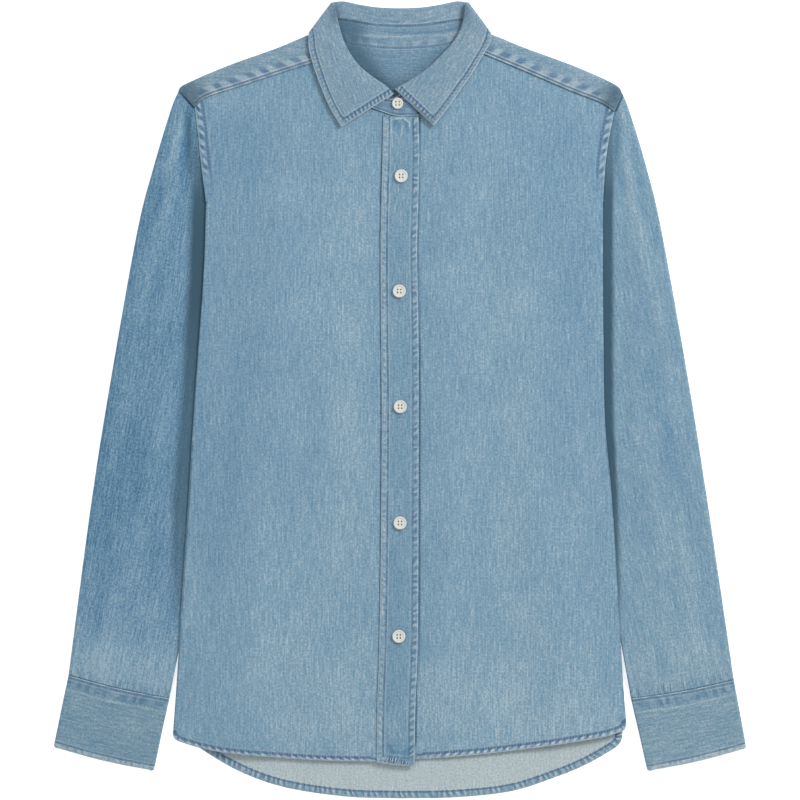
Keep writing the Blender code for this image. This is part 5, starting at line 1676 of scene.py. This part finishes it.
@dataclass
class Sewing:
    """Topstitching, buttonholes and the thread that holds the buttons."""

    buttonhole: float = 15.0
    hole_pitch: float = 0.55  # from one strand of a buttonhole to the next
    hole_reach: float = 1.5  # from the middle of a button to its holes, along x and y

    def rows(self, cloth: dict[str, BVHTree]) -> list[StitchRow]:
        """Every topstitched row that shows.

        Args:
            cloth: surface of each built piece, by the name of the node that it stands for.
        """
        rows = []
        table = np.array(PLACKET)
        band = cloth["placket"]
        outer = Curve(table[:, [1, 0]] + (PLACKET_STITCHES[0], 0.0))
        free = Curve(table[:, [2, 0]] - (PLACKET_STITCHES[1], 0.0))
        foot = Curve([(-20.6, -332.0), (13.0, -331.6)])
        rows += [StitchRow(outer, band, end=0.99), StitchRow(free, band, end=0.99), StitchRow(foot, band)]
        for side, front in ((-1, "right_front"), (1, "left_front")):
            hem = Curve(FRONT_HEMS[side])
            rows.append(StitchRow(hem.inset(Body.hem_stitch[side] * side), cloth[front], start=0.08))
            rows.append(StitchRow(Curve(ARMHOLES[side]).inset(-ARMHOLE_STITCH * side), cloth[front], end=0.72))
            seam = Curve(YOKE_SEAMS[side])
            rows.append(StitchRow(seam.inset(1.8 * side), cloth["yoke"]))
            word = "right" if side < 0 else "left"
            ends = [np.array(point) for point in CUFFS[side]]
            down = (ends[2] - ends[0]) / np.linalg.norm(ends[2] - ends[0])
            for a, b, step in ((ends[0], ends[1], CUFF_STITCHES[0]), (ends[2], ends[3], -CUFF_STITCHES[1])):
                bow = Curve([a, (a + b) / 2 + down * CUFF_BOW, b]).points + down * step
                rows.append(StitchRow(Curve(bow, smooth=False), cloth[f"cuff_{word}"], start=0.02, end=0.98))
            leaf = np.array(LEAVES[side])
            edge = Curve(leaf[:, 3])
            rows.append(StitchRow(edge.inset(-LEAF_STITCH * side), cloth["collar"], start=0.03, end=0.99))
            front_edge = Curve([leaf[0, 2], leaf[0, 3]])
            rows.append(StitchRow(front_edge.inset(LEAF_STITCH * side), cloth["collar"], start=0.08, end=0.93))
        rows.append(StitchRow(Curve(BACK_HEM).inset(BACK_STITCH), cloth["back"], start=0.01, end=0.99))
        back = np.array([(row[0], row[1]) for row in COLLAR_BACK[5:]])
        for column, step in ((0, STAND_STITCHES[0]), (1, -STAND_STITCHES[1])):
            half = back[:, column] + (0.0, step)
            whole = np.vstack([half, (half * (-1.0, 1.0))[::-1][1:]])
            rows.append(StitchRow(Curve(whole), cloth["collar_stand"]))
        return rows

    def buttonholes(self, band: BVHTree) -> list[tuple[Vector, Vector]]:
        """Close strands on both sides of each slit, with a bar at each end."""
        made = []
        for x, y in BUTTONS[1:]:
            top = y + 0.35 * self.buttonhole
            spans = [((x + a, top - k * self.hole_pitch), (x + b, top - k * self.hole_pitch))
                     for k in range(int(self.buttonhole / self.hole_pitch)) for a, b in ((-1.3, -0.2), (0.2, 1.3))]
            for level in (top + 0.4, top - self.buttonhole - 0.2, top - self.buttonhole - 0.6):
                spans.append(((x - 1.4, level), (x + 1.4, level)))
            for pair in spans:
                hits = [drop(band, u, v) for u, v in pair]
                if all(hits):
                    made.append((hits[0], hits[1]))
        return made

    def button_threads(self, frame: dict) -> list[tuple[Vector, Vector]]:
        """Two bars of thread over each button, and the ends that go down its holes."""
        made = []
        for name in frame["nodes"]:
            if not name.startswith("button_"):
                continue
            low, high = (Vector(corner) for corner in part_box(name))
            middle, dish = (low + high) / 2, high.z - 0.75 * MM
            for u in (-1, 1):
                for bar in (-0.16, 0.16):
                    x = middle.x + (u * self.hole_reach + bar) * MM
                    ends = [Vector((x, middle.y + v * self.hole_reach * MM, dish)) for v in (-1, 1)]
                    made.append((ends[0], ends[1]))
                    made += [(end, end - Vector((0.0, 0.0, 1.2 * MM))) for end in ends]
        return made

    def build(self, cloth: dict[str, bpy.types.Object], frame: dict) -> None:
        """Makes all the thread."""
        depsgraph = bpy.context.evaluated_depsgraph_get()
        tops = {node: BVHTree.FromObject(piece, depsgraph) for node, piece in cloth.items() if node != "yoke_inner"
                and not node.startswith("sleeve")}
        ends = [pair for row in self.rows(tops) for pair in row.strands()]
        blue = Thread("thread_blue", "#5A7C9C", "#87A2B8")
        pale = Thread("thread_buttonhole", "#5F7D9C", "#8BA1B8")
        for strands, finish, slot in (
            (Strands("topstitches", ends), blue, "denim"),
            (Strands("buttonholes", self.buttonholes(tops["placket"]), thickness=0.5), pale, "denim_band"),
            (Strands("button_threads", self.button_threads(frame), thickness=0.42, raised=0.0),
             Thread("thread_button", "#85795F", "#B5AB93"), "button"),
        ):
            made = strands.build(finish)
            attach(made, "root")
            log.info("%s: %d strands", made.name, len(strands.ends))


@dataclass
class Studio:
    """Floor, lamps and camera."""

    lens: float = 260.0
    frame_width: float = 736.0

    def build(self) -> None:
        """Makes the stage, the light and the camera straight above the shirt."""
        shape = bmesh.new()
        bmesh.ops.create_grid(shape, x_segments=4, y_segments=4, size=6.0)
        mesh = bpy.data.meshes.new("floor")
        shape.to_mesh(mesh)
        shape.free()
        mesh.materials.append(PaleFloor().material())
        floor = add_object("floor", mesh)
        floor.location.z = -0.4 * MM
        scene = bpy.context.scene
        world = bpy.data.worlds.new("studio")
        world.use_nodes = True
        background = world.node_tree.nodes["Background"]
        background.inputs["Color"].default_value = (1.0, 1.0, 1.0, 1.0)
        background.inputs["Strength"].default_value = 0.55
        scene.world = world
        self._lamp("key", (1.9, 1.5, 2.1), 0.9, 62.0)
        self._lamp("fill", (-1.2, -0.3, 2.6), 2.2, 12.0)
        camera_data = bpy.data.cameras.new("camera")
        camera_data.lens = self.lens
        camera_data.sensor_width = SENSOR
        camera_data.clip_end = 100.0
        camera = add_object("camera", camera_data)
        distance = self.frame_width * MM * self.lens / SENSOR
        camera.location = (0.0, -0.2 * MM, distance + 5.0 * MM)
        scene.camera = camera
        scene.view_settings.view_transform = "Standard"
        scene.view_settings.look = "None"

    def _lamp(self, name: str, place: tuple[float, float, float], size: float, power: float) -> None:
        """Adds a soft square lamp that points at the shirt."""
        data = bpy.data.lights.new(name, "AREA")
        data.size = size
        data.energy = power
        lamp = add_object(name, data)
        lamp.location = place
        lamp.rotation_euler = (-Vector(place)).to_track_quat("-Z", "Y").to_euler()


@dataclass
class Dressing:
    body: Body = field(default_factory=Body)
    neck: Neck = field(default_factory=Neck)
    cloth: dict[str, bpy.types.Object] = field(default_factory=dict)

    def dress(self, piece: ClothPiece, node: str) -> bpy.types.Object:
        """Builds one piece and names what it stands for.

        Args:
            piece: the cloth piece.
            node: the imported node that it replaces.

        Returns:
            The built object.
        """
        made = piece.build()
        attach(made, "root")
        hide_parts(node)
        log.info("%s stands for %s", made.name, node)
        self.cloth[node] = made
        return made

    def build(self) -> None:
        """Builds every piece of cloth."""
        body, neck = self.body, self.neck
        self.dress(body.back(), "back")
        self.dress(body.yoke(), "yoke")
        self.dress(body.yoke_inner(), "yoke_inner")
        self.dress(body.front(Side.LEFT), "left_front")
        self.dress(body.front(Side.RIGHT), "right_front")
        self.dress(body.placket(), "placket")
        for side in Side:
            word = side.name.lower()
            sleeve = Sleeve(side, body)
            self.dress(sleeve.tube(), f"sleeve_{word}")
            self.dress(sleeve.cuff(), f"cuff_{word}")
        self.dress(neck.stand(), "collar_stand")
        self.dress(neck.fall(), "collar")


def main() -> None:
    """Loads the part, dresses it and sets up the studio."""
    logging.basicConfig(level=logging.INFO, format="%(name)s: %(message)s")
    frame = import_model()
    dressing = Dressing()
    dressing.build()
    Sewing().build(dressing.cloth, frame)
    resin = ButtonPlastic().material()
    for name, node in frame["nodes"].items():
        if name.startswith("button_"):
            node.data.materials.clear()
            node.data.materials.append(resin)
    Studio().build()
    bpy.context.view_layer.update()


if __name__ == "__main__":
    main()
